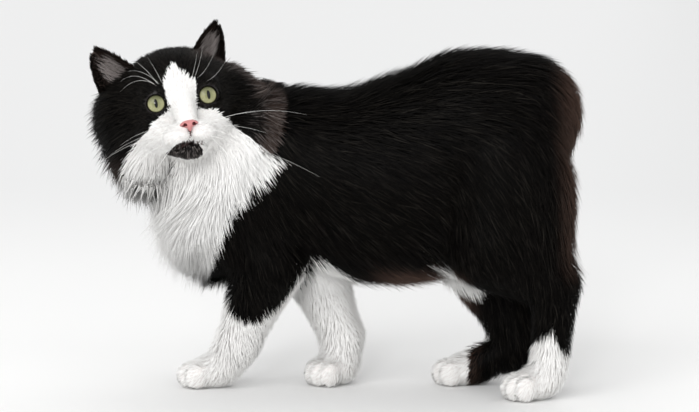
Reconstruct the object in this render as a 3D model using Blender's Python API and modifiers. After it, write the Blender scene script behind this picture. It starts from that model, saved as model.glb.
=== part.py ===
"""A life-size standing Manx cat, long-coated, black and white, as a still museum model.

The cat walks towards -X with its left side towards -Y and turns its head to its left.
All sizes are metres, +Z is up and the origin is under the middle of the cat, on the floor.
"""

import math

import bmesh
import bpy
import numpy as np
from mathutils import Matrix, Vector

# The middle of the finished cat on the floor, measured on the plan that the body is laid out on:
# the soles are cut flat at this height.
PLAN_CENTRE = Vector((-0.010, -0.0115, 0.0006))

# How far apart neighbouring pieces stay.
GAP = 0.0003

# Head: the middle of the eye line, how far the face turns from -Y towards +X, how far it
# lifts and how far the eye line leans, in degrees, and its size against the plan of the skull.
HEAD_AT = Vector((-0.1346, -0.0700, 0.2537))
HEAD_TURN = 15.4
HEAD_LIFT = 11.2
HEAD_LEAN = 8.7
HEAD_SIZE = 0.95

# Eyes: half the distance between their centres on the plan of the skull, the ball, how far each
# looks outwards in degrees, and half the width and height of the opening between the lids.
EYE_APART = 22.2
EYE_RADIUS = 0.0105
EYE_SPLAY = 6.0
EYE_OPEN_WIDE = 0.0083
EYE_OPEN_TALL = 0.0077

# Ears: how thick the flap is.
EAR_THICK = 0.0015

# The part of the coat's depth that the core of each node fills; locks reach the rest.
CORE_SHARE = 0.5

# Coat depth over the skin, for each region of the body.
COAT_DEPTH = {
    "face": 0.0026,
    "lid": 0.0010,
    "nose": 0.0010,
    "cheek": 0.0330,
    "neck": 0.0450,
    "chest": 0.0460,
    "back": 0.0130,
    "flank": 0.0150,
    "belly": 0.0190,
    "thigh": 0.0130,
    "upper_arm": 0.0100,
    "shin": 0.0065,
    "forearm": 0.0060,
    "paw": 0.0022,
}
RUFF = ("cheek", "neck", "chest")

# Locks of the coat, for each region that has them: how far apart their roots are, how long and
# wide and thick they are, and how far their tips stand out of the coat.
LOCKS = {
    "cheek": (0.0180, 0.046, 0.0155, 0.0042, 0.0050),
    "neck": (0.0270, 0.048, 0.0185, 0.0044, 0.0040),
    "chest": (0.0205, 0.048, 0.0170, 0.0042, 0.0050),
    "back": (0.0345, 0.052, 0.0225, 0.0046, 0.0020),
    "flank": (0.0400, 0.054, 0.0240, 0.0048, 0.0010),
    "belly": (0.0280, 0.042, 0.0165, 0.0042, 0.0020),
    "thigh": (0.0385, 0.046, 0.0210, 0.0046, 0.0010),
    "upper_arm": (0.0385, 0.038, 0.0185, 0.0044, 0.0005),
}
LOCK_SEED = 7
ROOT_DEPTH = 0.0055
EAR_CLEAR = 0.040

# Rings of a lock: their places along it, how far each rises through the free part of the coat
# (below nought, how far it sinks into the core) and its width.
LOCK_RINGS = (0.0, 0.33, 0.68, 1.0)
LOCK_RISE = (-1.0, -0.05, 0.60, 1.0)
LOCK_WIDTH = (0.70, 1.0, 0.80, 0.0)

# The way the hair lies on each region; on the head it runs away from the nose.
LIE = {
    "back": (1.0, 0.0, -0.10),
    "flank": (0.90, 0.0, -0.45),
    "belly": (0.60, 0.0, -0.80),
    "thigh": (0.55, 0.0, -0.85),
    "upper_arm": (0.35, 0.0, -0.95),
    "shin": (0.25, 0.0, -1.0),
    "forearm": (0.25, 0.0, -1.0),
    "paw": (-0.8, 0.0, -0.5),
    "chest": (0.10, 0.0, -1.0),
}

# Meshes: the voxel that fuses the masses, and how many triangles the body and the head keep.
VOXEL = 0.0035
BODY_TRIANGLES = 2400
HEAD_TRIANGLES = 1750


def head_axes():
    """The head's own axes as columns: towards its left ear, up, and out of the face."""
    turn, lift, lean = (math.radians(a) for a in (HEAD_TURN, HEAD_LIFT, HEAD_LEAN))
    out = Vector((math.sin(turn) * math.cos(lift), -math.cos(turn) * math.cos(lift), math.sin(lift)))
    level = Vector((math.cos(turn), math.sin(turn), 0.0))
    side = level * math.cos(lean) + out.cross(level) * math.sin(lean)
    return Matrix((side, out.cross(side), out)).transposed()


HEAD_AXES = head_axes()


def head_point(side, up, out):
    """A point on the plan of the skull, in millimetres from the middle of the eye line."""
    return HEAD_AT + HEAD_AXES @ (Vector((side, up, out)) * 0.001 * HEAD_SIZE)


def smooth(low, high, value):
    """0 below low, 1 above high, and an S between them."""
    share = np.clip((value - low) / (high - low), 0.0, 1.0)
    return share * share * (3.0 - 2.0 * share)


class Mass:
    """A rounded mass of flesh: an ellipsoid, or a tapered bar where it has an end."""

    def __init__(self, region, centre, half, axes=None, melt=0.014, end=None, end_radius=None):
        self.region = region
        self.centre = np.array(centre, float)
        self.axes = np.array(axes if axes is not None else Matrix.Identity(3), float)
        self.half = np.array(half, float)
        self.end = None if end is None else np.array(end, float)
        self.end_radius = end_radius
        self.melt = melt

    def distance(self, points):
        """How far each point is from the mass, negative inside it."""
        local = points - self.centre
        if self.end is None:
            local = local @ self.axes
            near = np.linalg.norm(local / self.half, axis=1)
            steep = np.linalg.norm(local / self.half**2, axis=1)
            return near * (near - 1.0) / np.maximum(steep, 1e-9)
        along = self.end - self.centre
        share = np.clip(local @ along / (along @ along), 0.0, 1.0)
        radius = self.half + (self.end_radius - self.half) * share
        return np.linalg.norm(local - share[:, None] * along, axis=1) - radius

    def add_balls(self, mesh, grow):
        """Adds the mass to a bmesh as balls, or as balls joined by a cone, grown by a length."""
        if self.end is None:
            place = Matrix.Translation(self.centre) @ Matrix(self.axes.tolist()).to_4x4()
            size = Matrix.Diagonal((*(self.half + grow), 1.0))
            bmesh.ops.create_icosphere(mesh, subdivisions=3, radius=1.0, matrix=place @ size)
            return
        start_radius = float(self.half) + grow
        for centre, radius in ((self.centre, start_radius), (self.end, self.end_radius + grow)):
            place = Matrix.Translation(centre)
            bmesh.ops.create_icosphere(mesh, subdivisions=3, radius=radius, matrix=place)
        along = Vector(self.end - self.centre)
        turned = along.to_track_quat("Z", "Y").to_matrix().to_4x4()
        bmesh.ops.create_cone(
            mesh,
            cap_ends=True,
            segments=24,
            radius1=start_radius,
            radius2=self.end_radius + grow,
            depth=along.length,
            matrix=Matrix.Translation((self.centre + self.end) / 2) @ turned,
        )


def pitched(degrees):
    """Axes turned about Y, so that the front goes down for a positive angle."""
    return Matrix.Rotation(math.radians(degrees), 3, "Y")


def trunk():
    """The masses of the trunk and neck, from the withers to the rump."""
    throat = Vector((-0.128, -0.022, 0.222))
    return [
        Mass("flank", (-0.035, 0.0, 0.182), (0.085, 0.050, 0.062), melt=0.03),
        Mass("flank", (0.045, 0.0, 0.182), (0.085, 0.055, 0.067), melt=0.03),
        Mass("back", (0.104, 0.0, 0.227), (0.064, 0.052, 0.058), melt=0.03),
        Mass("back", (0.150, 0.0, 0.221), (0.036, 0.044, 0.054), melt=0.02),
        Mass("back", (-0.055, 0.0, 0.214), (0.050, 0.034, 0.030), melt=0.02),
        Mass("belly", (0.032, 0.0, 0.146), (0.075, 0.045, 0.036), melt=0.02),
        Mass("chest", (-0.104, -0.006, 0.168), (0.030, 0.038, 0.044), melt=0.02),
        Mass("neck", (-0.082, -0.002, 0.200), 0.044, end=throat, end_radius=0.036, melt=0.02),
    ]


def foreleg(side, shoulder, elbow, wrist, foot):
    """A front leg from the shoulder blade to the ball of the foot; side is -1 for the left."""
    blade = Vector((-0.070, side * 0.034, 0.190))
    return [
        Mass("upper_arm", blade, (0.034, 0.018, 0.050), pitched(-18), melt=0.016),
        Mass("upper_arm", shoulder, 0.027, end=elbow, end_radius=0.022, melt=0.016),
        Mass("forearm", elbow, 0.0215, end=wrist, end_radius=0.0130, melt=0.012),
        Mass("forearm", wrist, 0.0130, end=foot, end_radius=0.0125, melt=0.008),
    ]


def hindleg(hip, knee, hock, foot):
    """A back leg from the hip to the ball of the foot."""
    haunch = (hip + knee) / 2 + Vector((0.012, 0.0, 0.004))
    heel = hock + Vector((0.005, 0.0, 0.002))
    return [
        Mass("thigh", haunch, (0.046, 0.026, 0.060), pitched(12), melt=0.018),
        Mass("thigh", hip, 0.036, end=knee, end_radius=0.024, melt=0.018),
        Mass("thigh", hip + Vector((0.020, 0.0, -0.02)), 0.028, end=hock, end_radius=0.012, melt=0.018),
        Mass("shin", knee, 0.0225, end=hock, end_radius=0.0125, melt=0.014),
        Mass("shin", heel, 0.0115, end=foot, end_radius=0.0125, melt=0.010),
    ]


def paw(ball, heading):
    """A paw with four toes, its pad about ball, heading in degrees from -X towards -Y."""
    turn = math.radians(heading)
    ahead = Vector((-math.cos(turn), -math.sin(turn), 0.0))
    across = Vector((-ahead.y, ahead.x, 0.0))
    axes = Matrix((ahead, across, (0.0, 0.0, 1.0))).transposed()
    masses = [Mass("paw", ball, (0.019, 0.0150, 0.0125), axes, melt=0.006)]
    for slot, reach in ((-1.5, 0.0120), (-0.5, 0.0175), (0.5, 0.0175), (1.5, 0.0120)):
        toe = ball + ahead * reach + across * (slot * 0.0078) - Vector((0.0, 0.0, 0.0020))
        masses.append(Mass("paw", toe, (0.0095, 0.0054, 0.0100), axes, melt=0.0020))
    return masses


# The legs, by the cat's own left and right, as joints on the plan.
LEGS = [
    foreleg(
        -1,
        Vector((-0.094, -0.032, 0.150)),
        Vector((-0.070, -0.031, 0.112)),
        Vector((-0.099, -0.015, 0.042)),
        Vector((-0.112, -0.008, 0.022)),
    ),
    foreleg(
        1,
        Vector((-0.080, 0.034, 0.152)),
        Vector((-0.036, 0.032, 0.114)),
        Vector((-0.008, 0.024, 0.042)),
        Vector((-0.012, 0.022, 0.022)),
    ),
    hindleg(
        Vector((0.128, -0.030, 0.202)),
        Vector((0.120, -0.044, 0.130)),
        Vector((0.173, -0.036, 0.096)),
        Vector((0.170, -0.031, 0.022)),
    ),
    hindleg(
        Vector((0.122, 0.030, 0.196)),
        Vector((0.100, 0.042, 0.112)),
        Vector((0.139, 0.034, 0.033)),
        Vector((0.103, 0.030, 0.019)),
    ),
]

PAWS = [
    paw(Vector((-0.121, -0.006, 0.0135)), 14),
    paw(Vector((-0.016, 0.018, 0.0135)), 40),
    paw(Vector((0.158, -0.034, 0.0135)), 28),
    paw(Vector((0.092, 0.028, 0.0135)), 8),
]


def eye_frame(side):
    """The centre of an eye and the way it looks; side is 1 for the cat's left."""
    centre = head_point(side * EYE_APART, 0.0, 0.0)
    turn = math.radians(side * EYE_SPLAY)
    looking = HEAD_AXES @ Vector((math.sin(turn), 0.0, math.cos(turn)))
    return centre, looking.normalized()


def head_masses():
    """Skull, brow, lids, cheeks, bridge of the nose, muzzle, jaw and chin."""

    def lump(region, centre, half, melt):
        size = Vector(half) * 0.001 * HEAD_SIZE
        return Mass(region, head_point(*centre), size, HEAD_AXES, melt=melt)

    masses = [
        lump("face", (0, 10, -30), (43, 33, 40), 0.014),
        lump("face", (0, 19, -9), (25, 19, 17), 0.012),
        lump("face", (0, -34, -6), (22, 14, 22), 0.012),
    ]
    for side in (-1, 1):
        masses.append(lump("cheek", (side * 28, -14, -25), (20, 25, 26), 0.014))
        masses.append(lump("cheek", (side * 43, 4, -40), (14, 18, 16), 0.014))
        masses.append(lump("face", (side * 23, -20, -1), (15, 13, 12), 0.010))
        masses.append(lump("face", (side * 20, 11, 2), (12, 6, 8), 0.008))
    for side in (-1, 1):
        centre = eye_frame(side)[0]
        masses.append(Mass("lid", centre, (EYE_RADIUS + 0.0004,) * 3, HEAD_AXES, melt=0.0035))
    bridge = head_point(0, 4, 5)
    nose_end = head_point(0, -21, 20)
    masses.append(Mass("nose", bridge, 0.0095, end=nose_end, end_radius=0.0070, melt=0.008))
    for side in (-1, 1):
        masses.append(lump("nose", (side * 10.5, -32.5, 16.5), (13, 9.5, 12.5), 0.006))
    masses.append(lump("nose", (0, -43.5, 10.5), (13, 8.0, 11.5), 0.005))
    return masses


MASSES = [
    *trunk(),
    *[mass for leg in LEGS for mass in leg],
    *[mass for foot in PAWS for mass in foot],
    *head_masses(),
]


def skin_distance(points):
    """How far each point is from the skin, and how much of each region there is about it."""
    distances = [mass.distance(points) for mass in MASSES]
    closest = np.min(distances, axis=0)
    whole = None
    nearness = {}
    for mass, distance in zip(MASSES, distances):
        if whole is None:
            whole = distance
        else:
            share = np.clip(0.5 + 0.5 * (distance - whole) / mass.melt, 0.0, 1.0)
            whole = distance + (whole - distance) * share - mass.melt * share * (1.0 - share)
        weight = np.exp(-(distance - closest) / 0.007)
        nearness[mass.region] = nearness.get(mass.region, 0.0) + weight
    return whole, nearness


def coat_depth(points, nearness, part=1.0):
    """The depth of the coat, or of that part of it that is core where locks grow.

    It is long about the cheeks, throat and chest and short on the face.
    """
    local = (points - np.array(HEAD_AT)) @ np.array(HEAD_AXES)
    behind = smooth(-0.002, 0.026, -local[:, 2])
    below = smooth(0.044, 0.070, -local[:, 1])
    upper = smooth(0.022, 0.050, local[:, 1]) * smooth(0.10, 0.05, np.linalg.norm(local, axis=1))
    nape = smooth(0.225, 0.262, points[:, 2])
    fullness = np.maximum(behind, below) * (1.0 - 0.75 * np.maximum(nape, upper)) + 0.05
    total = sum(nearness.values())
    depth = 0.0
    for region, weight in nearness.items():
        share = fullness if region in RUFF else 1.0
        share = share * (part if region in LOCKS else 1.0)
        depth = depth + COAT_DEPTH[region] * weight * share
    return depth / total


def coat_distance(points):
    """How far each point is from the surface of the core, with the soles made flat."""
    distance, nearness = skin_distance(points)
    whole = distance - coat_depth(points, nearness, CORE_SHARE)
    return np.maximum(whole, -points[:, 2])


def lie_of_hair(points, nearness):
    """The unit way that the hair runs at each point, before it is laid on the surface."""
    nose_tip = np.array(head_point(0, -22, 34))
    away = points - nose_tip
    away = away / np.linalg.norm(away, axis=1)[:, None]
    droop = smooth(0.02, 0.10, np.linalg.norm(points - nose_tip, axis=1))
    away = away + np.array((0.0, 0.0, -0.75)) * droop[:, None]
    rump = np.array((-0.3, 0.0, -1.1)) * smooth(0.130, 0.170, points[:, 0])[:, None]
    way = 0.0
    for region, weight in nearness.items():
        own = np.array(LIE[region]) + rump if region in LIE else away
        way = way + own * weight[:, None]
    return way / np.linalg.norm(way, axis=1)[:, None]


def gradient(field, points, step=0.0004):
    """The slope of a distance field at each point."""
    slopes = [(field(points + axis) - field(points - axis)) / (2 * step) for axis in np.eye(3) * step]
    return np.stack(slopes, axis=1)


def settle(points, field, rounds=4):
    """Moves points onto the surface where a field is zero."""
    for _ in range(rounds):
        slope = gradient(field, points)
        steep = np.maximum((slope**2).sum(axis=1), 0.25)
        points = points - (field(points) / steep)[:, None] * slope
    return points


def new_object(name, mesh, collection):
    """An object made of a bmesh, which is freed."""
    data = bpy.data.meshes.new(name)
    mesh.to_mesh(data)
    mesh.free()
    made = bpy.data.objects.new(name, data)
    collection.objects.link(made)
    return made


def modify(thing, kind, **settings):
    """Adds a modifier, applies it and leaves the result as the object's mesh."""
    modifier = thing.modifiers.new(kind.lower(), kind)
    for name, value in settings.items():
        setattr(modifier, name, value)
    graph = bpy.context.evaluated_depsgraph_get()
    result = bpy.data.meshes.new_from_object(thing.evaluated_get(graph))
    thing.modifiers.clear()
    thing.data = result


def vertices_of(thing):
    """The object's vertices as an array of points."""
    points = np.empty(len(thing.data.vertices) * 3, np.float32)
    thing.data.vertices.foreach_get("co", points)
    return points.reshape(-1, 3).astype(float)


def set_vertices(thing, points):
    """Puts an array of points back as the object's vertices."""
    thing.data.vertices.foreach_set("co", points.astype(np.float32).ravel())
    thing.data.update()


def whole_body(collection):
    """The body as one closed mesh: masses fused by voxels, drawn onto the coat and thinned out."""
    mesh = bmesh.new()
    for mass in MASSES:
        mass.add_balls(mesh, COAT_DEPTH[mass.region] * CORE_SHARE * 0.5)
    body = new_object("body", mesh, collection)
    modify(body, "REMESH", mode="VOXEL", voxel_size=VOXEL)
    set_vertices(body, settle(vertices_of(body), coat_distance))
    modify(body, "SMOOTH", factor=0.5, iterations=1)
    set_vertices(body, settle(vertices_of(body), coat_distance, 2))
    surface = vertices_of(body)
    thin_out(body)
    return body, surface


def flat_lock(collection):
    """A lock before it is bent: a flat four-sided cone, cut into rings, from 0 to 1 along Z."""
    mesh = bmesh.new()
    lift = Matrix.Translation((0.0, 0.0, 0.5))
    bmesh.ops.create_cone(
        mesh, cap_ends=True, segments=4, radius1=1.0, radius2=0.0, depth=1.0, matrix=lift
    )
    bmesh.ops.remove_doubles(mesh, verts=mesh.verts[:], dist=1e-6)
    for height in LOCK_RINGS[1:-1]:
        cut = {"plane_co": (0, 0, height), "plane_no": (0, 0, 1)}
        bmesh.ops.bisect_plane(mesh, geom=mesh.verts[:] + mesh.edges[:] + mesh.faces[:], **cut)
    bmesh.ops.recalc_face_normals(mesh, faces=mesh.faces[:])
    return new_object("lock", mesh, collection)


def lock_roots(surface):
    """Where locks grow: points of the surface, as far apart as their region says."""
    shuffled = np.random.default_rng(LOCK_SEED).permutation(len(surface))
    distance, nearness = skin_distance(surface)
    names = list(nearness)
    strongest = np.argmax(np.stack([nearness[name] for name in names]), axis=0)
    depth = coat_depth(surface, nearness)
    ear_middles = [np.array(head_point(47, 44, -40)), np.array(head_point(-53, 40, -40))]
    kept = []
    for index in shuffled:
        region = names[strongest[index]]
        point = surface[index]
        if region not in LOCKS or depth[index] < 0.0045:
            continue
        if min(np.linalg.norm(point - middle) for middle in ear_middles) < EAR_CLEAR:
            continue
        spacing = LOCKS[region][0]
        if all(np.linalg.norm(point - surface[other]) > spacing for other, _ in kept):
            kept.append((index, region))
    return np.array([surface[index] for index, _ in kept]), [region for _, region in kept]


def lock_paths(roots, sizes):
    """The rings of every lock: middle, side and outward way, from inside the core to the tip."""
    lengths = sizes[:, 1]
    points = roots - 0.35 * lengths[:, None] * lie_of_hair(roots, skin_distance(roots)[1])
    rings = []
    heading = None
    for number, (along, rise) in enumerate(zip(LOCK_RINGS, LOCK_RISE)):
        nearness = skin_distance(points)[1]
        out = gradient(coat_distance, points)
        out = out / np.linalg.norm(out, axis=1)[:, None]
        room = coat_depth(points, nearness) - coat_depth(points, nearness, CORE_SHARE) + sizes[:, 4]
        target = np.where(rise < 0, rise * ROOT_DEPTH, rise * room)
        hold = 1.0 if number < 2 else 0.85
        points = points - ((coat_distance(points) - target) * hold)[:, None] * out
        way = lie_of_hair(points, nearness)
        way = way - (way * out).sum(axis=1)[:, None] * out
        way = way / np.linalg.norm(way, axis=1)[:, None]
        heading = way if heading is None else 0.5 * heading + 0.5 * way
        side = np.cross(out, heading)
        side = side / np.linalg.norm(side, axis=1)[:, None]
        rings.append((points, side, out))
        if number + 1 < len(LOCK_RINGS):
            step = (LOCK_RINGS[number + 1] - along) * lengths
            points = points + heading * step[:, None]
    return rings


def add_locks(surface, collection):
    """One closed mesh for each lock, bent along the lie, its root sunk in the core."""
    roots, regions = lock_roots(surface)
    chance = np.random.default_rng(LOCK_SEED + 1)
    sizes = np.array([LOCKS[region] for region in regions])
    sizes[:, 1:4] *= chance.uniform(0.85, 1.15, (len(roots), 3))
    plain = flat_lock(collection)
    base = vertices_of(plain)
    level = np.argmin(np.abs(base[:, 2][:, None] - np.array(LOCK_RINGS)), axis=1)
    spread = base[:, :2] / np.maximum(1.0 - base[:, 2], 1e-6)[:, None]
    shape = np.array(LOCK_WIDTH)[level]
    rings = lock_paths(roots, sizes)
    for number in range(len(roots)):
        middle = np.array([rings[k][0][number] for k in level])
        side = np.array([rings[k][1][number] for k in level])
        out = np.array([rings[k][2][number] for k in level])
        wide = spread[:, 0] * shape * sizes[number, 2] / 2
        thick = spread[:, 1] * shape * sizes[number, 3] / 2
        lock = bpy.data.objects.new(f"lock_{number}", plain.data.copy())
        collection.objects.link(lock)
        set_vertices(lock, middle + side * wide[:, None] + out * thick[:, None])
    bpy.data.objects.remove(plain)


def thin_out(body):
    """Thins the mesh out, first away from the face, then on the face itself."""
    near = np.linalg.norm(vertices_of(body) - np.array(head_point(0, -8, 0)), axis=1) < 0.055
    group = body.vertex_groups.new(name="away_from_face")
    group.add(np.flatnonzero(~near).tolist(), 1.0, "REPLACE")
    faces = sum(len(face.vertices) - 2 for face in body.data.polygons)
    kept = body.data.polygons
    on_face = sum(len(f.vertices) - 2 for f in kept if all(near[i] for i in f.vertices))
    modify(body, "DECIMATE", ratio=(on_face + BODY_TRIANGLES) / faces, vertex_group=group.name)
    body.vertex_groups.clear()
    faces = sum(len(face.vertices) - 2 for face in body.data.polygons)
    ratio = (HEAD_TRIANGLES + BODY_TRIANGLES) / faces
    near = np.linalg.norm(vertices_of(body) - np.array(head_point(0, -8, 0)), axis=1) < 0.055
    group = body.vertex_groups.new(name="face")
    group.add(np.flatnonzero(near).tolist(), 1.0, "REPLACE")
    modify(body, "DECIMATE", ratio=ratio, vertex_group=group.name)
    body.vertex_groups.clear()


def boolean(thing, other, operation):
    """Joins or cuts an object with another object or with a collection of them."""
    settings = {"operation": operation, "solver": "MANIFOLD"}
    if isinstance(other, bpy.types.Collection):
        settings.update(operand_type="COLLECTION", collection=other)
    else:
        settings.update(object=other)
    modify(thing, "BOOLEAN", **settings)


def ball(name, centre, half, axes, collection, detail=3):
    """An ellipsoid on its own axes."""
    mesh = bmesh.new()
    place = Matrix.Translation(centre) @ axes.to_4x4() @ Matrix.Diagonal((*half, 1.0))
    bmesh.ops.create_icosphere(mesh, subdivisions=detail, radius=1.0, matrix=place)
    return new_object(name, mesh, collection)


def eye_axes(looking):
    """Axes of an eye as columns: across, up and out."""
    across = (HEAD_AXES.col[1].cross(looking)).normalized()
    return Matrix((across, looking.cross(across), looking)).transposed()


def eye_cutters(side, collection):
    """The socket, the opening between the lids and its corner towards the nose."""
    centre, looking = eye_frame(side)
    axes = eye_axes(looking)
    socket = (EYE_RADIUS + GAP,) * 3
    ball("socket", centre, socket, axes, collection)
    ahead = centre + looking * EYE_RADIUS
    ball("opening", ahead, (EYE_OPEN_WIDE, EYE_OPEN_TALL, 0.012), axes, collection)
    corner = centre + axes @ Vector((-side * 0.0078, -0.0032, 0.0090))
    lean = axes @ Matrix.Rotation(math.radians(side * 32), 3, "Z")
    ball("corner", corner, (0.0042, 0.0017, 0.0060), lean, collection, 2)


def eye(side, collection):
    """An eyeball, free in its socket."""
    centre, looking = eye_frame(side)
    name = "eye_left" if side > 0 else "eye_right"
    axes = eye_axes(looking)
    return ball(name, centre, (EYE_RADIUS,) * 3, axes, collection)


def tube(name, points, radius, collection):
    """A thin bar along a line of points, as a mesh."""
    curve = bpy.data.curves.new(name, "CURVE")
    curve.dimensions = "3D"
    curve.bevel_depth = radius
    curve.bevel_resolution = 1
    curve.use_fill_caps = True
    spline = curve.splines.new("POLY")
    spline.points.add(len(points) - 1)
    for slot, point in zip(spline.points, points):
        slot.co = (*point, 1.0)
    guide = bpy.data.objects.new(name, curve)
    bpy.context.scene.collection.objects.link(guide)
    graph = bpy.context.evaluated_depsgraph_get()
    mesh = bmesh.new()
    mesh.from_mesh(guide.evaluated_get(graph).to_mesh())
    bpy.data.objects.remove(guide)
    bmesh.ops.remove_doubles(mesh, verts=mesh.verts[:], dist=1e-6)
    bmesh.ops.recalc_face_normals(mesh, faces=mesh.faces[:])
    return new_object(name, mesh, collection)


def mouth_cutters(collection):
    """The groove under the nose and the line of the lips on each side."""
    top = [(0, -29.0, 32), (0, -32.5, 30), (0, -36.5, 29)]
    line = [(0, -36.5, 29), (4, -39.5, 28), (10, -41.5, 24), (16.5, -41.5, 16), (21.5, -38.5, 7)]
    for side in (-1, 0, 1):
        plan = top if side == 0 else [(side * across, up, out) for across, up, out in line]
        points = np.array([head_point(*point) for point in plan])
        tube("lips", settle(points, coat_distance), 0.00075, collection)


def nose(collection):
    """The bare nose leather, with two nostrils that open outwards."""
    size = Vector((7.9, 5.4, 5.0)) * 0.001 * HEAD_SIZE
    leather = ball("nose", head_point(0, -25.2, 26.6), size, HEAD_AXES, collection)
    below = bmesh.new()
    below.from_mesh(leather.data)
    for vertex in below.verts:
        local = HEAD_AXES.transposed() @ (vertex.co - head_point(0, -25.2, 26.6))
        drop = max(0.0, -local.y / size.y)
        vertex.co -= HEAD_AXES.col[0] * local.x * 0.55 * drop
    below.to_mesh(leather.data)
    below.free()
    return leather


def nostril_cutters(collection):
    """A slanted hole on each side of the nose leather."""
    for side in (-1, 1):
        lean = HEAD_AXES @ Matrix.Rotation(math.radians(side * 30), 3, "Z")
        place = head_point(side * 4.4, -24.8, 31.0)
        ball("nostril", place, (0.0021, 0.00115, 0.0026), lean, collection, 2)


def ear(name, front, back, outer, tip, collection):
    """An ear flap, cupped: its foot runs from the front by the back to the outer side."""
    mesh = bmesh.new()
    grid = bmesh.ops.create_grid(mesh, x_segments=8, y_segments=7, size=1.0)
    corners = [head_point(*point) for point in (front, back, outer, tip)]
    front_at, back_at, outer_at, tip_at = corners
    middle = front_at * 0.25 + back_at * 0.5 + outer_at * 0.25
    for vertex in grid["verts"]:
        across = (vertex.co.x + 1.0) / 2
        height = (vertex.co.y + 1.0) / 2 * 0.975
        foot = front_at * (1 - across) ** 2 + back_at * 2 * across * (1 - across)
        foot += outer_at * across**2
        spine = middle.lerp(tip_at, height)
        vertex.co = spine + (foot - middle) * (1.0 - height) ** 0.52
    bmesh.ops.solidify(mesh, geom=mesh.faces[:], thickness=EAR_THICK)
    bmesh.ops.recalc_face_normals(mesh, faces=mesh.faces[:])
    return new_object(name, mesh, collection)


def ears(collection):
    """Both ears, each with its own set, from the cat's left and right."""
    left = ear(
        "ear_left", (21, 36, -20), (38, 46, -62), (48, 14, -34), (50.5, 70, -44), collection
    )
    right = ear(
        "ear_right", (-30, 34, -20), (-44, 40, -64), (-60, 10, -38), (-62.5, 61, -46), collection
    )
    return [left, right]


def bowl(name, centre, half, floor, collection):
    """A thin open bowl, turned over, that parts a leg from the trunk; floor is its rim's height."""
    mesh = bmesh.new()
    place = Matrix.Translation(centre) @ Matrix.Diagonal((*half, 1.0))
    bmesh.ops.create_uvsphere(mesh, u_segments=18, v_segments=12, radius=1.0, matrix=place)
    cut = {"plane_co": (0, 0, floor), "plane_no": (0, 0, 1)}
    bmesh.ops.bisect_plane(mesh, geom=mesh.verts[:] + mesh.edges[:] + mesh.faces[:], **cut, clear_inner=True)
    bmesh.ops.solidify(mesh, geom=mesh.faces[:], thickness=GAP)
    bmesh.ops.recalc_face_normals(mesh, faces=mesh.faces[:])
    return new_object(name, mesh, collection)


def shell(name, centre, half, axes, collection):
    """A thin closed shell that parts what is inside it from what is outside."""
    mesh = bmesh.new()
    place = Matrix.Translation(centre) @ axes.to_4x4()
    outer = Matrix.Diagonal((*half, 1.0))
    inner = Matrix.Diagonal((*(Vector(half) - Vector((GAP, GAP, GAP))), 1.0))
    bmesh.ops.create_icosphere(mesh, subdivisions=3, radius=1.0, matrix=place @ outer)
    count = len(mesh.faces)
    bmesh.ops.create_icosphere(mesh, subdivisions=3, radius=1.0, matrix=place @ inner)
    mesh.faces.ensure_lookup_table()
    bmesh.ops.reverse_faces(mesh, faces=mesh.faces[count:])
    return new_object(name, mesh, collection)


def disc(name, centre, along, radius, collection):
    """A thin disc across a limb."""
    mesh = bmesh.new()
    turned = Vector(along).to_track_quat("Z", "Y").to_matrix().to_4x4()
    bmesh.ops.create_cone(
        mesh,
        cap_ends=True,
        segments=32,
        radius1=radius,
        radius2=radius,
        depth=GAP,
        matrix=Matrix.Translation(centre) @ turned,
    )
    return new_object(name, mesh, collection)


def floor_block(collection):
    """A block whose top cuts the soles flat."""
    mesh = bmesh.new()
    place = Matrix.Translation((0.0, 0.0, PLAN_CENTRE.z - 0.05)) @ Matrix.Diagonal((1, 1, 0.1, 1))
    bmesh.ops.create_cube(mesh, size=1.0, matrix=place)
    return new_object("floor_block", mesh, collection)


def joint_cutters(collection):
    """The thin cuts that part head, neck, legs and paws."""
    shell("skull", head_point(0, -9, -24), (0.0500, 0.0560, 0.0590), HEAD_AXES, collection)
    level = Matrix.Identity(3)
    shell("collar", (-0.142, -0.026, 0.222), (0.082, 0.084, 0.082), level, collection)
    bowl("shoulder_left", (-0.078, -0.066, 0.070), (0.066, 0.0710, 0.096), 0.086, collection)
    bowl("shoulder_right", (-0.040, 0.066, 0.070), (0.072, 0.0720, 0.096), 0.086, collection)
    bowl("hip_left", (0.146, -0.070, 0.096), (0.086, 0.0690, 0.138), 0.074, collection)
    bowl("hip_right", (0.134, 0.070, 0.090), (0.084, 0.0690, 0.138), 0.078, collection)
    disc("wrist_left", (-0.103, -0.013, 0.034), (-0.4, 0.1, -0.9), 0.032, collection)
    disc("wrist_right", (-0.010, 0.023, 0.034), (0.0, 0.0, 1.0), 0.032, collection)
    disc("ankle_left", (0.170, -0.032, 0.036), (-0.1, 0.0, 1.0), 0.034, collection)
    disc("ankle_right", (0.118, 0.032, 0.029), (0.8, 0.1, 0.6), 0.032, collection)


# A point about the middle of each piece that the body is parted into, on the plan.
SEEDS = {
    "head": head_point(0, -9, -15),
    "neck": Vector((-0.135, -0.020, 0.190)),
    "torso": Vector((0.040, 0.0, 0.185)),
    "foreleg_left": Vector((-0.088, -0.034, 0.090)),
    "foreleg_right": Vector((-0.035, 0.034, 0.090)),
    "hindleg_left": Vector((0.140, -0.048, 0.140)),
    "hindleg_right": Vector((0.120, 0.048, 0.130)),
    "forepaw_left": Vector((-0.121, -0.006, 0.015)),
    "forepaw_right": Vector((-0.016, 0.018, 0.015)),
    "hindpaw_left": Vector((0.160, -0.034, 0.018)),
    "hindpaw_right": Vector((0.098, 0.029, 0.015)),
}


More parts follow.
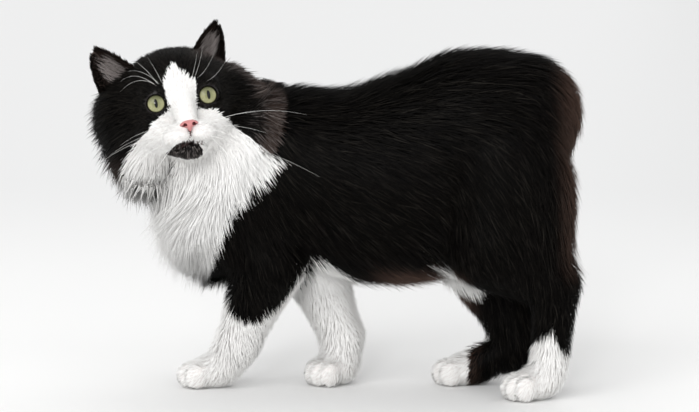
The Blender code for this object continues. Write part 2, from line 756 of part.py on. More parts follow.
def loose_parts(thing):
    """The closed surfaces of a mesh, each as a list of its vertices."""
    whole = bmesh.new()
    whole.from_mesh(thing.data)
    whole.verts.ensure_lookup_table()
    label = [-1] * len(whole.verts)
    parts = []
    for start in whole.verts:
        if label[start.index] >= 0:
            continue
        label[start.index] = len(parts)
        stack = [start]
        found = []
        while stack:
            vertex = stack.pop()
            found.append(vertex.index)
            for edge in vertex.link_edges:
                other = edge.other_vert(vertex)
                if label[other.index] < 0:
                    label[other.index] = len(parts)
                    stack.append(other)
        parts.append(found)
    whole.free()
    return parts


def part_out(thing, indices, name, collection):
    """A copy of an object that keeps only some of its vertices."""
    mesh = bmesh.new()
    mesh.from_mesh(thing.data)
    mesh.verts.ensure_lookup_table()
    kept = set(indices)
    bmesh.ops.delete(mesh, geom=[v for v in mesh.verts if v.index not in kept], context="VERTS")
    return new_object(name, mesh, collection)


def part_body(body, collection):
    """Makes each piece of the cut body its own object, named by the seed nearest to it."""
    points = vertices_of(body)
    names = {}
    for indices in loose_parts(body):
        middle = points[indices].mean(axis=0)
        name = min(SEEDS, key=lambda seed: np.linalg.norm(middle - np.array(SEEDS[seed])))
        if len(indices) > len(names.get(name, [])):
            names[name] = indices
    return [part_out(body, indices, name, collection) for name, indices in names.items()]


def grown_copy(body, collection):
    """The body again, larger by the gap, to cut pieces clear of it."""
    copy = bpy.data.objects.new("clearance", body.data.copy())
    collection.objects.link(copy)
    normals = np.array([vertex.normal for vertex in copy.data.vertices])
    set_vertices(copy, vertices_of(copy) + normals * GAP * 1.15)
    return copy


def material(name, colour, roughness):
    """A plain material for one piece."""
    made = bpy.data.materials.new(name)
    made.use_nodes = True
    shade = made.node_tree.nodes["Principled BSDF"]
    shade.inputs["Base Color"].default_value = (*colour, 1.0)
    shade.inputs["Roughness"].default_value = roughness
    made.diffuse_color = (*colour, 1.0)
    return made


BLACK = (0.012, 0.011, 0.011)
WHITE = (0.80, 0.79, 0.77)
PINK = (0.66, 0.33, 0.32)
IRIS = (0.50, 0.52, 0.22)
COLOURS = {
    "nose": (PINK, 0.45),
    "eye_left": (IRIS, 0.08),
    "eye_right": (IRIS, 0.08),
    "neck": (WHITE, 0.85),
    "foreleg_right": (WHITE, 0.85),
    "forepaw_left": (WHITE, 0.85),
    "forepaw_right": (WHITE, 0.85),
    "hindpaw_left": (WHITE, 0.85),
    "hindpaw_right": (WHITE, 0.85),
}


def collections():
    """The cat's own collection, and a hidden one for what only cuts or joins."""
    for thing in list(bpy.data.objects):
        bpy.data.objects.remove(thing)
    cat = bpy.data.collections.new("manx_cat")
    tools = bpy.data.collections.new("cutters")
    tools.hide_render = True
    for made in (cat, tools):
        bpy.context.scene.collection.children.link(made)
    return cat, tools


def group_of(name, parent):
    """A collection inside another."""
    made = bpy.data.collections.new(name)
    parent.children.link(made)
    return made


def clear(collection):
    """Removes the objects of a collection."""
    for thing in list(collection.objects):
        bpy.data.objects.remove(thing)


def finish(piece):
    """Gives a piece its place about the origin and its own material."""
    set_vertices(piece, vertices_of(piece) - np.array(PLAN_CENTRE))
    colour, roughness = COLOURS.get(piece.name, (BLACK, 0.85))
    piece.data.materials.clear()
    piece.data.materials.append(material(piece.name + "_surface", colour, roughness))


def build():
    """Builds every piece of the cat."""
    cat, tools = collections()
    body, surface = whole_body(tools)
    clearance = grown_copy(body, tools)
    locks = group_of("locks", tools)
    add_locks(surface, locks)
    boolean(body, locks, "UNION")
    clear(locks)
    holes = group_of("holes", tools)
    for side in (-1, 1):
        eye_cutters(side, holes)
    mouth_cutters(holes)
    for cutter in list(holes.objects):
        boolean(body, cutter, "DIFFERENCE")
    clear(holes)
    cuts = group_of("cuts", tools)
    floor_block(cuts)
    joint_cutters(cuts)
    for cutter in list(cuts.objects):
        boolean(body, cutter, "DIFFERENCE")
    clear(cuts)
    pieces = part_body(body, cat)
    flaps = ears(cat)
    for flap in flaps:
        boolean(flap, clearance, "DIFFERENCE")
        parts = sorted(loose_parts(flap), key=len)
        kept = part_out(flap, parts[-1], "flap", cat)
        flap.data = kept.data
        bpy.data.objects.remove(kept)
    leather = nose(cat)
    boolean(leather, clearance, "DIFFERENCE")
    nostril_cutters(holes)
    for cutter in list(holes.objects):
        boolean(leather, cutter, "DIFFERENCE")
    pieces += [*flaps, leather, eye(-1, cat), eye(1, cat)]
    clear(holes)
    clear(tools)
    for piece in pieces:
        finish(piece)


build()
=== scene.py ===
"""The looks of a life-size Manx cat, long-coated, black and white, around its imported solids."""

import math

import bmesh
import bpy
import numpy as np
from mathutils import Matrix, Vector, kdtree


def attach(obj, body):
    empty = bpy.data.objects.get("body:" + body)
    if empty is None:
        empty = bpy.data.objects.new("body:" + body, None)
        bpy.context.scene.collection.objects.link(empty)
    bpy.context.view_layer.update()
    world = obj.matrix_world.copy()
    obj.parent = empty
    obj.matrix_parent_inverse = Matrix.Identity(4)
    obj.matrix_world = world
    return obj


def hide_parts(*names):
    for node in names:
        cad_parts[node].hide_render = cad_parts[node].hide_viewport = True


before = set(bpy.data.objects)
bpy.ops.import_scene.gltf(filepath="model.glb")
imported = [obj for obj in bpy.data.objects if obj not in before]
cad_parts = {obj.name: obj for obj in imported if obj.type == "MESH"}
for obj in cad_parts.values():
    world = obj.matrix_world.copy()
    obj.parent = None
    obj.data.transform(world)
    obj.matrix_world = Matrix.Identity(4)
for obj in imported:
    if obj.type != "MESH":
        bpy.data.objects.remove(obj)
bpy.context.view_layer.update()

# Form of the body. The flesh of a walking cat: trunk, four legs, and a head turned to its
# left, as rounded masses that melt together. Every surface and every hair is set from it.
# It is laid out on the plan, which lies PLAN_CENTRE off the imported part's own frame.

PLAN_CENTRE = Vector((-0.010, -0.0115, 0.0006))
HEAD_AT = Vector((-0.1346, -0.0700, 0.2537))
HEAD_TURN = 15.4
HEAD_LIFT = 11.2
HEAD_LEAN = 8.7
HEAD_SIZE = 0.95
EYE_APART = 22.2
EYE_RADIUS = 0.0105
EYE_SPLAY = 6.0
LID_THICK = 0.0013


def head_axes():
    """The head's own axes as columns: towards its left ear, up, and out of the face."""
    turn, lift, lean = (math.radians(a) for a in (HEAD_TURN, HEAD_LIFT, HEAD_LEAN))
    out = Vector((math.sin(turn) * math.cos(lift), -math.cos(turn) * math.cos(lift), math.sin(lift)))
    level = Vector((math.cos(turn), math.sin(turn), 0.0))
    side = level * math.cos(lean) + out.cross(level) * math.sin(lean)
    return Matrix((side, out.cross(side), out)).transposed()


HEAD_AXES = head_axes()


def head_point(side, up, out):
    """A point on the plan of the skull, in millimetres from the middle of the eye line."""
    return HEAD_AT + HEAD_AXES @ (Vector((side, up, out)) * 0.001 * HEAD_SIZE)


def head_local(points):
    """Points in the head's own axes, in metres from the middle of the eye line."""
    return (points - np.array(HEAD_AT)) @ np.array(HEAD_AXES)


def smooth(low, high, value):
    """0 below low, 1 above high, and an S between them."""
    share = np.clip((value - low) / (high - low), 0.0, 1.0)
    return share * share * (3.0 - 2.0 * share)


class Mass:
    """A rounded mass of flesh: an ellipsoid, or a tapered bar where it has an end."""

    def __init__(self, region, centre, half, axes=None, melt=0.014, end=None, end_radius=None):
        self.region = region
        self.centre = np.array(centre, float)
        self.axes = np.array(axes if axes is not None else Matrix.Identity(3), float)
        self.half = np.array(half, float)
        self.end = None if end is None else np.array(end, float)
        self.end_radius = end_radius
        self.melt = melt

    def distance(self, points):
        """How far each point is from the mass, negative inside it."""
        local = points - self.centre
        if self.end is None:
            local = local @ self.axes
            near = np.linalg.norm(local / self.half, axis=1)
            steep = np.linalg.norm(local / self.half**2, axis=1)
            return near * (near - 1.0) / np.maximum(steep, 1e-9)
        along = self.end - self.centre
        share = np.clip(local @ along / (along @ along), 0.0, 1.0)
        radius = self.half + (self.end_radius - self.half) * share
        return np.linalg.norm(local - share[:, None] * along, axis=1) - radius

    def add_balls(self, mesh):
        """Adds the mass to a bmesh as balls, or as balls joined by a cone."""
        if self.end is None:
            place = Matrix.Translation(self.centre) @ Matrix(self.axes.tolist()).to_4x4()
            size = Matrix.Diagonal((*self.half, 1.0))
            bmesh.ops.create_icosphere(mesh, subdivisions=4, radius=1.0, matrix=place @ size)
            return
        for centre, radius in ((self.centre, float(self.half)), (self.end, self.end_radius)):
            place = Matrix.Translation(centre)
            bmesh.ops.create_icosphere(mesh, subdivisions=4, radius=radius, matrix=place)
        along = Vector(self.end - self.centre)
        turned = along.to_track_quat("Z", "Y").to_matrix().to_4x4()
        bmesh.ops.create_cone(
            mesh,
            cap_ends=True,
            segments=32,
            radius1=float(self.half),
            radius2=self.end_radius,
            depth=along.length,
            matrix=Matrix.Translation((self.centre + self.end) / 2) @ turned,
        )


def pitched(degrees):
    """Axes turned about Y, so that the front goes down for a positive angle."""
    return Matrix.Rotation(math.radians(degrees), 3, "Y")


def trunk():
    """The masses of the trunk and neck, from the withers to the rump."""
    throat = Vector((-0.128, -0.022, 0.222))
    return [
        Mass("flank", (-0.035, 0.0, 0.182), (0.085, 0.050, 0.062), melt=0.03),
        Mass("flank", (0.045, 0.0, 0.182), (0.085, 0.055, 0.067), melt=0.03),
        Mass("back", (0.104, 0.0, 0.227), (0.064, 0.052, 0.058), melt=0.03),
        Mass("back", (0.151, 0.0, 0.241), (0.036, 0.042, 0.039), melt=0.02),
        Mass("back", (0.046, 0.0, 0.217), (0.050, 0.040, 0.042), melt=0.02),
        Mass("back", (-0.050, 0.0, 0.217), (0.052, 0.034, 0.030), melt=0.02),
        Mass("belly", (0.028, 0.0, 0.1440), (0.075, 0.045, 0.036), melt=0.02),
        Mass("chest", (-0.104, -0.006, 0.168), (0.030, 0.038, 0.044), melt=0.02),
        Mass("neck", (-0.082, -0.002, 0.200), 0.044, end=throat, end_radius=0.036, melt=0.02),
    ]


def foreleg(side, shoulder, elbow, wrist, foot):
    """A front leg from the shoulder blade to the ball of the foot; side is -1 for the left."""
    blade = Vector((-0.070, side * 0.034, 0.190))
    return [
        Mass("upper_arm", blade, (0.034, 0.018, 0.050), pitched(-18), melt=0.016),
        Mass("upper_arm", shoulder, 0.027, end=elbow, end_radius=0.022, melt=0.016),
        Mass("forearm", elbow, 0.0245, end=wrist, end_radius=0.0138, melt=0.012),
        Mass("forearm", wrist, 0.0138, end=foot, end_radius=0.0135, melt=0.008),
    ]


def hindleg(hip, knee, hock, foot):
    """A back leg from the hip to the ball of the foot."""
    haunch = (hip + knee) / 2 + Vector((0.012, 0.0, 0.004))
    heel = hock + Vector((0.005, 0.0, 0.002))
    seat = hip + Vector((0.020, 0.0, -0.02))
    return [
        Mass("thigh", haunch, (0.046, 0.026, 0.060), pitched(12), melt=0.018),
        Mass("thigh", hip, 0.036, end=knee, end_radius=0.024, melt=0.018),
        Mass("thigh", seat, 0.028, end=hock, end_radius=0.012, melt=0.018),
        Mass("shin", knee, 0.0225, end=hock, end_radius=0.0125, melt=0.014),
        Mass("shin", heel, 0.0115, end=foot, end_radius=0.0125, melt=0.010),
    ]


def paw(ball, heading):
    """A paw with four toes, its pad about ball, heading in degrees from -X towards -Y."""
    turn = math.radians(heading)
    ahead = Vector((-math.cos(turn), -math.sin(turn), 0.0))
    across = Vector((-ahead.y, ahead.x, 0.0))
    axes = Matrix((ahead, across, (0.0, 0.0, 1.0))).transposed()
    masses = [Mass("paw", ball, (0.019, 0.0150, 0.0125), axes, melt=0.006)]
    for slot, reach in ((-1.5, 0.0120), (-0.5, 0.0175), (0.5, 0.0175), (1.5, 0.0120)):
        toe = ball + ahead * reach + across * (slot * 0.0078) - Vector((0.0, 0.0, 0.0020))
        masses.append(Mass("paw", toe, (0.0095, 0.0054, 0.0100), axes, melt=0.0020))
    return masses


def eye_frame(side):
    """The centre of an eye and the way it looks; side is 1 for the cat's left."""
    centre = head_point(side * EYE_APART, 0.0, 0.0)
    turn = math.radians(side * EYE_SPLAY)
    looking = HEAD_AXES @ Vector((math.sin(turn), 0.0, math.cos(turn)))
    return centre, looking.normalized()


def head_masses():
    """Skull, brow, lids, cheeks, bridge of the nose, muzzle, jaw and chin."""

    def lump(region, centre, half, melt):
        size = Vector(half) * 0.001 * HEAD_SIZE
        return Mass(region, head_point(*centre), size, HEAD_AXES, melt=melt)

    masses = [
        lump("face", (0, 10, -30), (43, 33, 40), 0.014),
        lump("face", (0, 19, -9), (25, 19, 17), 0.012),
        lump("crown", (0, 18, -36), (38, 26, 32), 0.014),
        lump("face", (0, -34, -6), (22, 14, 22), 0.012),
    ]
    for side in (-1, 1):
        masses.append(lump("cheek", (side * 28, -14, -25), (20, 25, 26), 0.014))
        masses.append(lump("cheek", (side * 43, 4, -40), (14, 18, 16), 0.014))
        masses.append(lump("cheek", (side * 34, -35, -36), (12, 16, 13), 0.014))
        masses.append(lump("face", (side * 23, -20, -1), (15, 13, 12), 0.010))
        masses.append(lump("face", (side * 20, 11, 2), (12, 6, 8), 0.008))
    for side in (-1, 1):
        size = (EYE_RADIUS + LID_THICK,) * 3
        masses.append(Mass("lid", eye_frame(side)[0], size, HEAD_AXES, melt=0.0035))
    bridge = head_point(0, 4, 5)
    nose_end = head_point(0, -21, 20)
    masses.append(Mass("nose", bridge, 0.0095, end=nose_end, end_radius=0.0070, melt=0.008))
    for side in (-1, 1):
        masses.append(lump("nose", (side * 10.5, -32.5, 16.5), (13, 9.5, 12.5), 0.006))
    masses.append(lump("chin", (0, -43.5, 10.5), (13, 8.0, 11.5), 0.005))
    return masses


# Joints from the top of each leg to the ball of its foot.
FORELEG_LEFT = (
    Vector((-0.094, -0.032, 0.150)),
    Vector((-0.068, -0.031, 0.112)),
    Vector((-0.0955, -0.015, 0.042)),
    Vector((-0.1085, -0.008, 0.022)),
)
FORELEG_RIGHT = (
    Vector((-0.080, 0.034, 0.152)),
    Vector((-0.041, 0.032, 0.114)),
    Vector((-0.0105, 0.024, 0.042)),
    Vector((-0.0115, 0.022, 0.022)),
)
HINDLEG_LEFT = (
    Vector((0.128, -0.030, 0.202)),
    Vector((0.120, -0.044, 0.130)),
    Vector((0.173, -0.036, 0.096)),
    Vector((0.170, -0.031, 0.022)),
)
HINDLEG_RIGHT = (
    Vector((0.122, 0.030, 0.196)),
    Vector((0.1035, 0.042, 0.112)),
    Vector((0.143, 0.034, 0.034)),
    Vector((0.107, 0.030, 0.019)),
)
MASSES = [
    *trunk(),
    *foreleg(-1, *FORELEG_LEFT),
    *foreleg(1, *FORELEG_RIGHT),
    *hindleg(*HINDLEG_LEFT),
    *hindleg(*HINDLEG_RIGHT),
    *paw(Vector((-0.122, -0.006, 0.0135)), 14),
    *paw(Vector((-0.016, 0.018, 0.0135)), 40),
    *paw(Vector((0.158, -0.034, 0.0135)), 28),
    *paw(Vector((0.0955, 0.028, 0.0135)), 8),
    *head_masses(),
]


def skin_distance(points):
    """How far each point is from the skin, and how much of each region there is about it."""
    distances = [mass.distance(points) for mass in MASSES]
    closest = np.min(distances, axis=0)
    whole = None
    nearness = {}
    for mass, distance in zip(MASSES, distances):
        if whole is None:
            whole = distance
        else:
            share = np.clip(0.5 + 0.5 * (distance - whole) / mass.melt, 0.0, 1.0)
            whole = distance + (whole - distance) * share - mass.melt * share * (1.0 - share)
        weight = np.exp(-(distance - closest) / 0.007)
        nearness[mass.region] = nearness.get(mass.region, 0.0) + weight
    return whole, nearness


def skin_field(points):
    """The distance from the skin, with the soles made flat."""
    return np.maximum(skin_distance(points)[0], PLAN_CENTRE.z + 0.0012 - points[:, 2])


def gradient(field, points, step=0.0004):
    """The slope of a distance field at each point."""
    slopes = [(field(points + axis) - field(points - axis)) / (2 * step) for axis in np.eye(3) * step]
    return np.stack(slopes, axis=1)


def unit(vectors):
    """Rows made one long."""
    return vectors / np.maximum(np.linalg.norm(vectors, axis=1), 1e-9)[:, None]


def settle(points, field, rounds=3):
    """Moves points onto the surface where a field is zero."""
    for _ in range(rounds):
        slope = gradient(field, points)
        steep = np.maximum((slope**2).sum(axis=1), 0.25)
        points = points - (field(points) / steep)[:, None] * slope
    return points


# Markings. Black saddle, mask and ears; a white blaze, muzzle, bib and feet, and a black patch
# on the chin. The skin and the hair over it take them from these same edges.

BLAZE_TOP = 0.0335
CHEEK_MIDDLE = (0.025, -0.015)
# Height and side of the white's edges on the face, height and back edge of the bib, and how high
# the white comes along the foreleg and the hind foot.
LEFT_OF_WHITE = (
    (-0.063, -0.064), (-0.051, -0.056), (-0.0366, -0.0503), (-0.027, -0.0415), (-0.022, -0.0335),
    (-0.015, -0.028), (-0.010, -0.018), (-0.006, -0.0115), (0.008, -0.0135), (0.015, -0.0135),
    (0.021, -0.0105), (0.027, -0.0065), (BLAZE_TOP, -0.0014),
)
RIGHT_OF_WHITE = (
    (-0.125, 0.006), (-0.104, 0.017), (-0.093, 0.023), (-0.079, 0.043), (-0.071, 0.055),
    (-0.058, 0.066), (-0.042, 0.054), (-0.029, 0.042), (-0.019, 0.031), (-0.013, 0.027),
    (-0.0095, 0.012), (0.004, 0.0118), (0.0126, 0.0135), (0.0195, 0.0075), (0.025, 0.0024),
    (BLAZE_TOP, -0.0014),
)
BIB_EDGE = (
    (0.100, -0.118), (0.126, -0.114), (0.137, -0.107), (0.152, -0.102), (0.164, -0.097),
    (0.182, -0.080), (0.194, -0.064), (0.209, -0.054),
)
ARM_EDGE = (
    (-0.112, 0.090), (-0.105, 0.081), (-0.099, 0.070), (-0.086, 0.062), (-0.072, 0.067),
    (-0.056, 0.080), (-0.044, 0.098), (-0.033, 0.117), (-0.018, 0.118), (-0.004, 0.103),
    (0.006, 0.085), (0.016, 0.0),
)
SOCK_EDGE = (
    (0.150, 0.044), (0.156, 0.047), (0.161, 0.052), (0.168, 0.058), (0.175, 0.061),
    (0.178, 0.050), (0.186, 0.040), (0.196, 0.034),
)


def along_edge(edge, value):
    """The edge's other coordinate at each value of its first."""
    firsts, seconds = zip(*edge)
    return np.interp(value, firsts, seconds)


def ragged(points, size):
    """A small uneven shift of a marking's edge, which differs from place to place."""
    x, y, z = (points * 1000).T
    wave = np.sin(0.9 * x + 1.3 * y) + np.sin(1.7 * z - 0.8 * x) + np.sin(2.9 * y + 2.3 * z)
    return wave * size / 3


def chin_of(points):
    """True on the black patch under the lips."""
    side, up, out = head_local(points).T
    across = side + 0.0100
    level = up + 0.0500 - 0.24 * across
    return ((across / 0.0180) ** 2 + (level / 0.0132) ** 2 < 1.0) & (out > -0.018)


def white_of(points):
    """1 where the coat is white and 0 where it is black."""
    points = points + ragged(points, 0.0012)[:, None]
    x, y, z = points.T
    side, up, out = head_local(points).T
    left = along_edge(LEFT_OF_WHITE, up)
    right = along_edge(RIGHT_OF_WHITE, up)
    face = (up < BLAZE_TOP) & (up > -0.063) & (side > left) & (side < right) & (out > -0.060)
    bib = (z < 0.209) & (x < along_edge(BIB_EDGE, z)) & ((up < -0.063) | (side > 0.02))
    left_arm = (y < 0.006) & (x < 0.016) & (z < along_edge(ARM_EDGE, x))
    right_arm = (y >= 0.006) & (x < 0.035) & (z < 0.128)
    groin = (x > 0.068) & (x < 0.108) & (y > -0.036) & (z > 0.086) & (z < 0.120)
    left_sock = (y < 0.0) & (x > 0.10) & (z < along_edge(SOCK_EDGE, x))
    right_toes = (y >= -0.002) & (x > 0.04) & (x < 0.100) & (z < 0.045)
    body = left_arm | right_arm | groin | left_sock | right_toes
    return ((face | bib) & ~chin_of(points) | body).astype(float)


def ruff_rim(points):
    """1 along the pale edge of the ruff beside the cat's left cheek; the pale there is a painted highlight on
    the hair.
    """
    side, up, _ = head_local(points).T
    reach = np.hypot(side - CHEEK_MIDDLE[0], up - CHEEK_MIDDLE[1])
    return smooth(0.046, 0.055, reach) * smooth(0.068, 0.063, reach) * smooth(0.010, 0.04, side)


def brown_of(points):
    """How brown the tips of black hair are, partly a rusty tint and partly painted light glowing through the
    tips at the coat's edges: most on the rump, the ruff's edge and the belly.
    """
    x, _, z = points.T
    side, up, _ = head_local(points).T
    rump = smooth(0.176, 0.204, x) * smooth(0.09, 0.13, z)
    belly = smooth(0.107, 0.096, z) * smooth(0.020, 0.055, x) * smooth(0.115, 0.090, x)
    lobe = smooth(-0.035, -0.060, up) * smooth(-0.045, -0.065, side)
    lobe = lobe * smooth(0.12, 0.10, np.hypot(side, up))
    most = np.max([rump, belly, 0.35 * lobe, 0.30 * ruff_rim(points)], axis=0)
    return np.clip(0.01 + most, 0.0, 1.0)


# Skin. One unbroken hide from nose to rump, with lids, lips and cupped ears, under the coat.
# Its masses are fused by voxels, drawn onto the form, made finer on the face, and the ears
# are joined on and the openings for the eyes cut.

SKIN_VOXEL = 0.0026
FACE_FINER = ((0, -10, 8), 0.044)
MUZZLE_FINER = ((0, -16, 14), 0.034)
EYE_PLAY = 0.0001
EAR_THICK = 0.0012
EAR_TAPER = 0.46
# Each ear's front, back and outer side at the foot, and its tip, as head_point takes them.
EAR_SHAPES = {
    "left": ((16, 38, -21), (38, 46, -62), (45, 14, -34), (50, 67, -44)),
    "right": ((-30, 34, -20), (-44, 40, -64), (-62, 9, -38), (-64, 61, -46)),
}


def object_of(name, mesh):
    """An object made of a bmesh, which is freed."""
    data = bpy.data.meshes.new(name)
    mesh.to_mesh(data)
    mesh.free()
    made = bpy.data.objects.new(name, data)
    bpy.context.scene.collection.objects.link(made)
    return made


def modify(thing, kind, **settings):
    """Adds a modifier, applies it and leaves the result as the object's mesh."""
    modifier = thing.modifiers.new(kind.lower(), kind)
    for name, value in settings.items():
        setattr(modifier, name, value)
    graph = bpy.context.evaluated_depsgraph_get()
    result = bpy.data.meshes.new_from_object(thing.evaluated_get(graph))
    thing.modifiers.clear()
    thing.data = result


def vertices_of(thing):
    """The object's vertices as an array of points."""
    points = np.empty(len(thing.data.vertices) * 3, np.float32)
    thing.data.vertices.foreach_get("co", points)
    return points.reshape(-1, 3).astype(float)


def set_vertices(thing, points):
    """Puts an array of points back as the object's vertices."""
    thing.data.vertices.foreach_set("co", points.astype(np.float32).ravel())
    thing.data.update()


def give(thing, name, values):
    """Stores a number for each vertex, for the material to read."""
    made = thing.data.attributes.new(name, "FLOAT", "POINT")
    made.data.foreach_set("value", np.asarray(values, np.float32))


def cut(thing, other, operation):
    """Joins or cuts a closed mesh with another, which is then removed."""
    modify(thing, "BOOLEAN", operation=operation, solver="MANIFOLD", object=other)
    bpy.data.objects.remove(other)


def ball(name, centre, half, axes, detail):
    """An ellipsoid on its own axes."""
    mesh = bmesh.new()
    place = Matrix.Translation(centre) @ axes.to_4x4() @ Matrix.Diagonal((*half, 1.0))
    bmesh.ops.create_icosphere(mesh, subdivisions=detail, radius=1.0, matrix=place)
    return object_of(name, mesh)


def ear_flap(front, back, outer, tip):
    """A cupped ear, its foot running from the front by the back to the outer side."""
    mesh = bmesh.new()
    grid = bmesh.ops.create_grid(mesh, x_segments=44, y_segments=40, size=1.0)
    front_at, back_at, outer_at, tip_at = [head_point(*point) for point in (front, back, outer, tip)]
    middle = front_at * 0.25 + back_at * 0.5 + outer_at * 0.25
    for vertex in grid["verts"]:
        across = (vertex.co.x + 1.0) / 2
        height = (vertex.co.y + 1.0) / 2 * 0.975
        foot = front_at * (1 - across) ** 2 + back_at * 2 * across * (1 - across)
        foot += outer_at * across**2
        spine = middle.lerp(tip_at, height)
        vertex.co = spine + (foot - middle) * (1.0 - height) ** EAR_TAPER
    bmesh.ops.solidify(mesh, geom=mesh.faces[:], thickness=EAR_THICK)
    bmesh.ops.recalc_face_normals(mesh, faces=mesh.faces[:])
    return object_of("ear", mesh)


def ear_corners(ear_name):
    """The front, back and outer side of an ear's foot, the foot's middle, and the rise to the tip."""
    front, back, outer, tip = [np.array(head_point(*point)) for point in EAR_SHAPES[ear_name]]
    middle = (front + 2 * back + outer) / 4
    return front, back, outer, middle, tip - middle


def ear_shares(ear_name, points):
    """How far up the ear each point is, and how far across it from front to outer edge."""
    front, _, outer, middle, rise = ear_corners(ear_name)
    height = (points - middle) @ rise / (rise @ rise)
    narrow = np.clip(1.0 - height, 0.02, 1.0)[:, None] ** EAR_TAPER
    start = middle + rise * height[:, None] + (front - middle) * narrow
    over = (outer - front) * narrow
    return height, ((points - start) * over).sum(axis=1) / (over**2).sum(axis=1)


def eye_axes(looking):
    """Axes of an eye as columns: across, up and out."""
    across = (HEAD_AXES.col[1].cross(looking)).normalized()
    return Matrix((across, looking.cross(across), looking)).transposed()


# The groove under the nose and the two sides of the lips, in millimetres as seen from ahead, and
# where the lips part.
MOUTH = (
    ((0, -29.0), (0, -36.5)),
    ((0, -36.5), (4, -39.0), (10, -41.5), (16.5, -42.0), (22.0, -39.0)),
    ((0, -36.5), (-4, -39.0), (-10, -41.5), (-16.5, -42.0), (-22.0, -39.0)),
)
GAPE = (0.5, -39.0)


def mouth_distance(points):
    """How far each point is from the line of the lips and the groove above it, seen from ahead."""
    local = head_local(points)
    seen = local[:, :2]
    nearest = np.full(len(points), 1.0)
    for line in MOUTH:
        corners = [np.array(corner) * 0.001 * HEAD_SIZE for corner in line]
        for start, end in zip(corners, corners[1:]):
            along = end - start
            share = np.clip((seen - start) @ along / (along @ along), 0.0, 1.0)
            gap = np.linalg.norm(seen - start - share[:, None] * along, axis=1)
            nearest = np.minimum(nearest, gap)
    return nearest + np.maximum(0.0, 0.004 - local[:, 2])


def gape_distance(points):
    """How far each point is from where the lips part, seen from ahead."""
    local = head_local(points)
    gap = np.linalg.norm((local[:, :2] - np.array(GAPE) * 0.001 * HEAD_SIZE) / (1.3, 1.0), axis=1)
    return gap + np.maximum(0.0, 0.010 - local[:, 2])


def face_field(points):
    """The skin, with the line of the mouth pressed in."""
    press = 0.0016 * np.exp(-((mouth_distance(points) / 0.0022) ** 2))
    press = press + 0.0034 * np.exp(-((gape_distance(points) / 0.0026) ** 2))
    return skin_field(points) + press


def make_skin():
    """The hide as one closed mesh on the plan."""
    mesh = bmesh.new()
    for mass in MASSES:
        mass.add_balls(mesh)
    hide = object_of("hide", mesh)
    modify(hide, "REMESH", mode="VOXEL", voxel_size=SKIN_VOXEL)
    set_vertices(hide, settle(vertices_of(hide), skin_field))
    modify(hide, "SMOOTH", factor=0.5, iterations=2)
    set_vertices(hide, settle(vertices_of(hide), skin_field, 2))
    finer = bmesh.new()
    finer.from_mesh(hide.data)
    for middle, reach in (FACE_FINER, MUZZLE_FINER):
        at = head_point(*middle)
        near = [edge for edge in finer.edges if all((v.co - at).length < reach for v in edge.verts)]
        bmesh.ops.subdivide_edges(finer, edges=near, cuts=1, use_grid_fill=True)
    bmesh.ops.triangulate(finer, faces=finer.faces[:])
    finer.to_mesh(hide.data)
    finer.free()
    set_vertices(hide, settle(vertices_of(hide), face_field, 2))
    for shape in EAR_SHAPES.values():
        cut(hide, ear_flap(*shape), "UNION")
    for side in (-1, 1):
        centre, looking = eye_frame(side)
        axes = eye_axes(looking)
        ahead = centre + looking * EYE_RADIUS
        corner = centre + axes @ Vector((-side * 0.0078, -0.0032, 0.0090))
        lean = axes @ Matrix.Rotation(math.radians(side * 32), 3, "Z")
        cut(hide, ball("socket", centre, (EYE_RADIUS + EYE_PLAY,) * 3, axes, 5), "DIFFERENCE")
        cut(hide, ball("opening", ahead, (0.0084, 0.0079, 0.0120), axes, 5), "DIFFERENCE")
        cut(hide, ball("corner", corner, (0.0046, 0.0019, 0.0060), lean, 4), "DIFFERENCE")
    return hide


def eye_gap(points):
    """How far each point is from the middle of the nearer eye's opening."""
    gaps = []
    for side in (-1, 1):
        centre, looking = eye_frame(side)
        gaps.append(np.linalg.norm(points - np.array(centre + looking * 0.007), axis=1))
    return np.minimum(*gaps)


skin = make_skin()
skin.name = "skin"
skin_points = vertices_of(skin)
on_ear = smooth(0.0012, 0.0030, skin_distance(skin_points)[0])
fold = np.zeros(len(skin_points))
for ear_name in EAR_SHAPES:
    height, across = ear_shares(ear_name, skin_points)
    beside = (height > -0.4) & (height < 1.2) & (across > -0.4) & (across < 1.4)
    fold = np.where(beside, across, fold)
on_ear = on_ear * smooth(0.22, 0.60, fold)
give(skin, "white", white_of(skin_points))
give(skin, "ear", on_ear)
give(skin, "rim", smooth(0.0125, 0.0100, eye_gap(skin_points)))
give(skin, "lips", smooth(0.0020, 0.0008, mouth_distance(skin_points)))
give(skin, "gape", smooth(0.0034, 0.0018, gape_distance(skin_points)))
skin.data.uv_layers.new(name="OFBake")
bpy.context.view_layer.objects.active = skin
skin.select_set(True)
bpy.ops.object.mode_set(mode="EDIT")
bpy.ops.mesh.select_all(action="SELECT")
bpy.ops.uv.smart_project(angle_limit=math.radians(66), island_margin=0.002)
bpy.ops.object.mode_set(mode="OBJECT")
skin.data.shade_smooth()


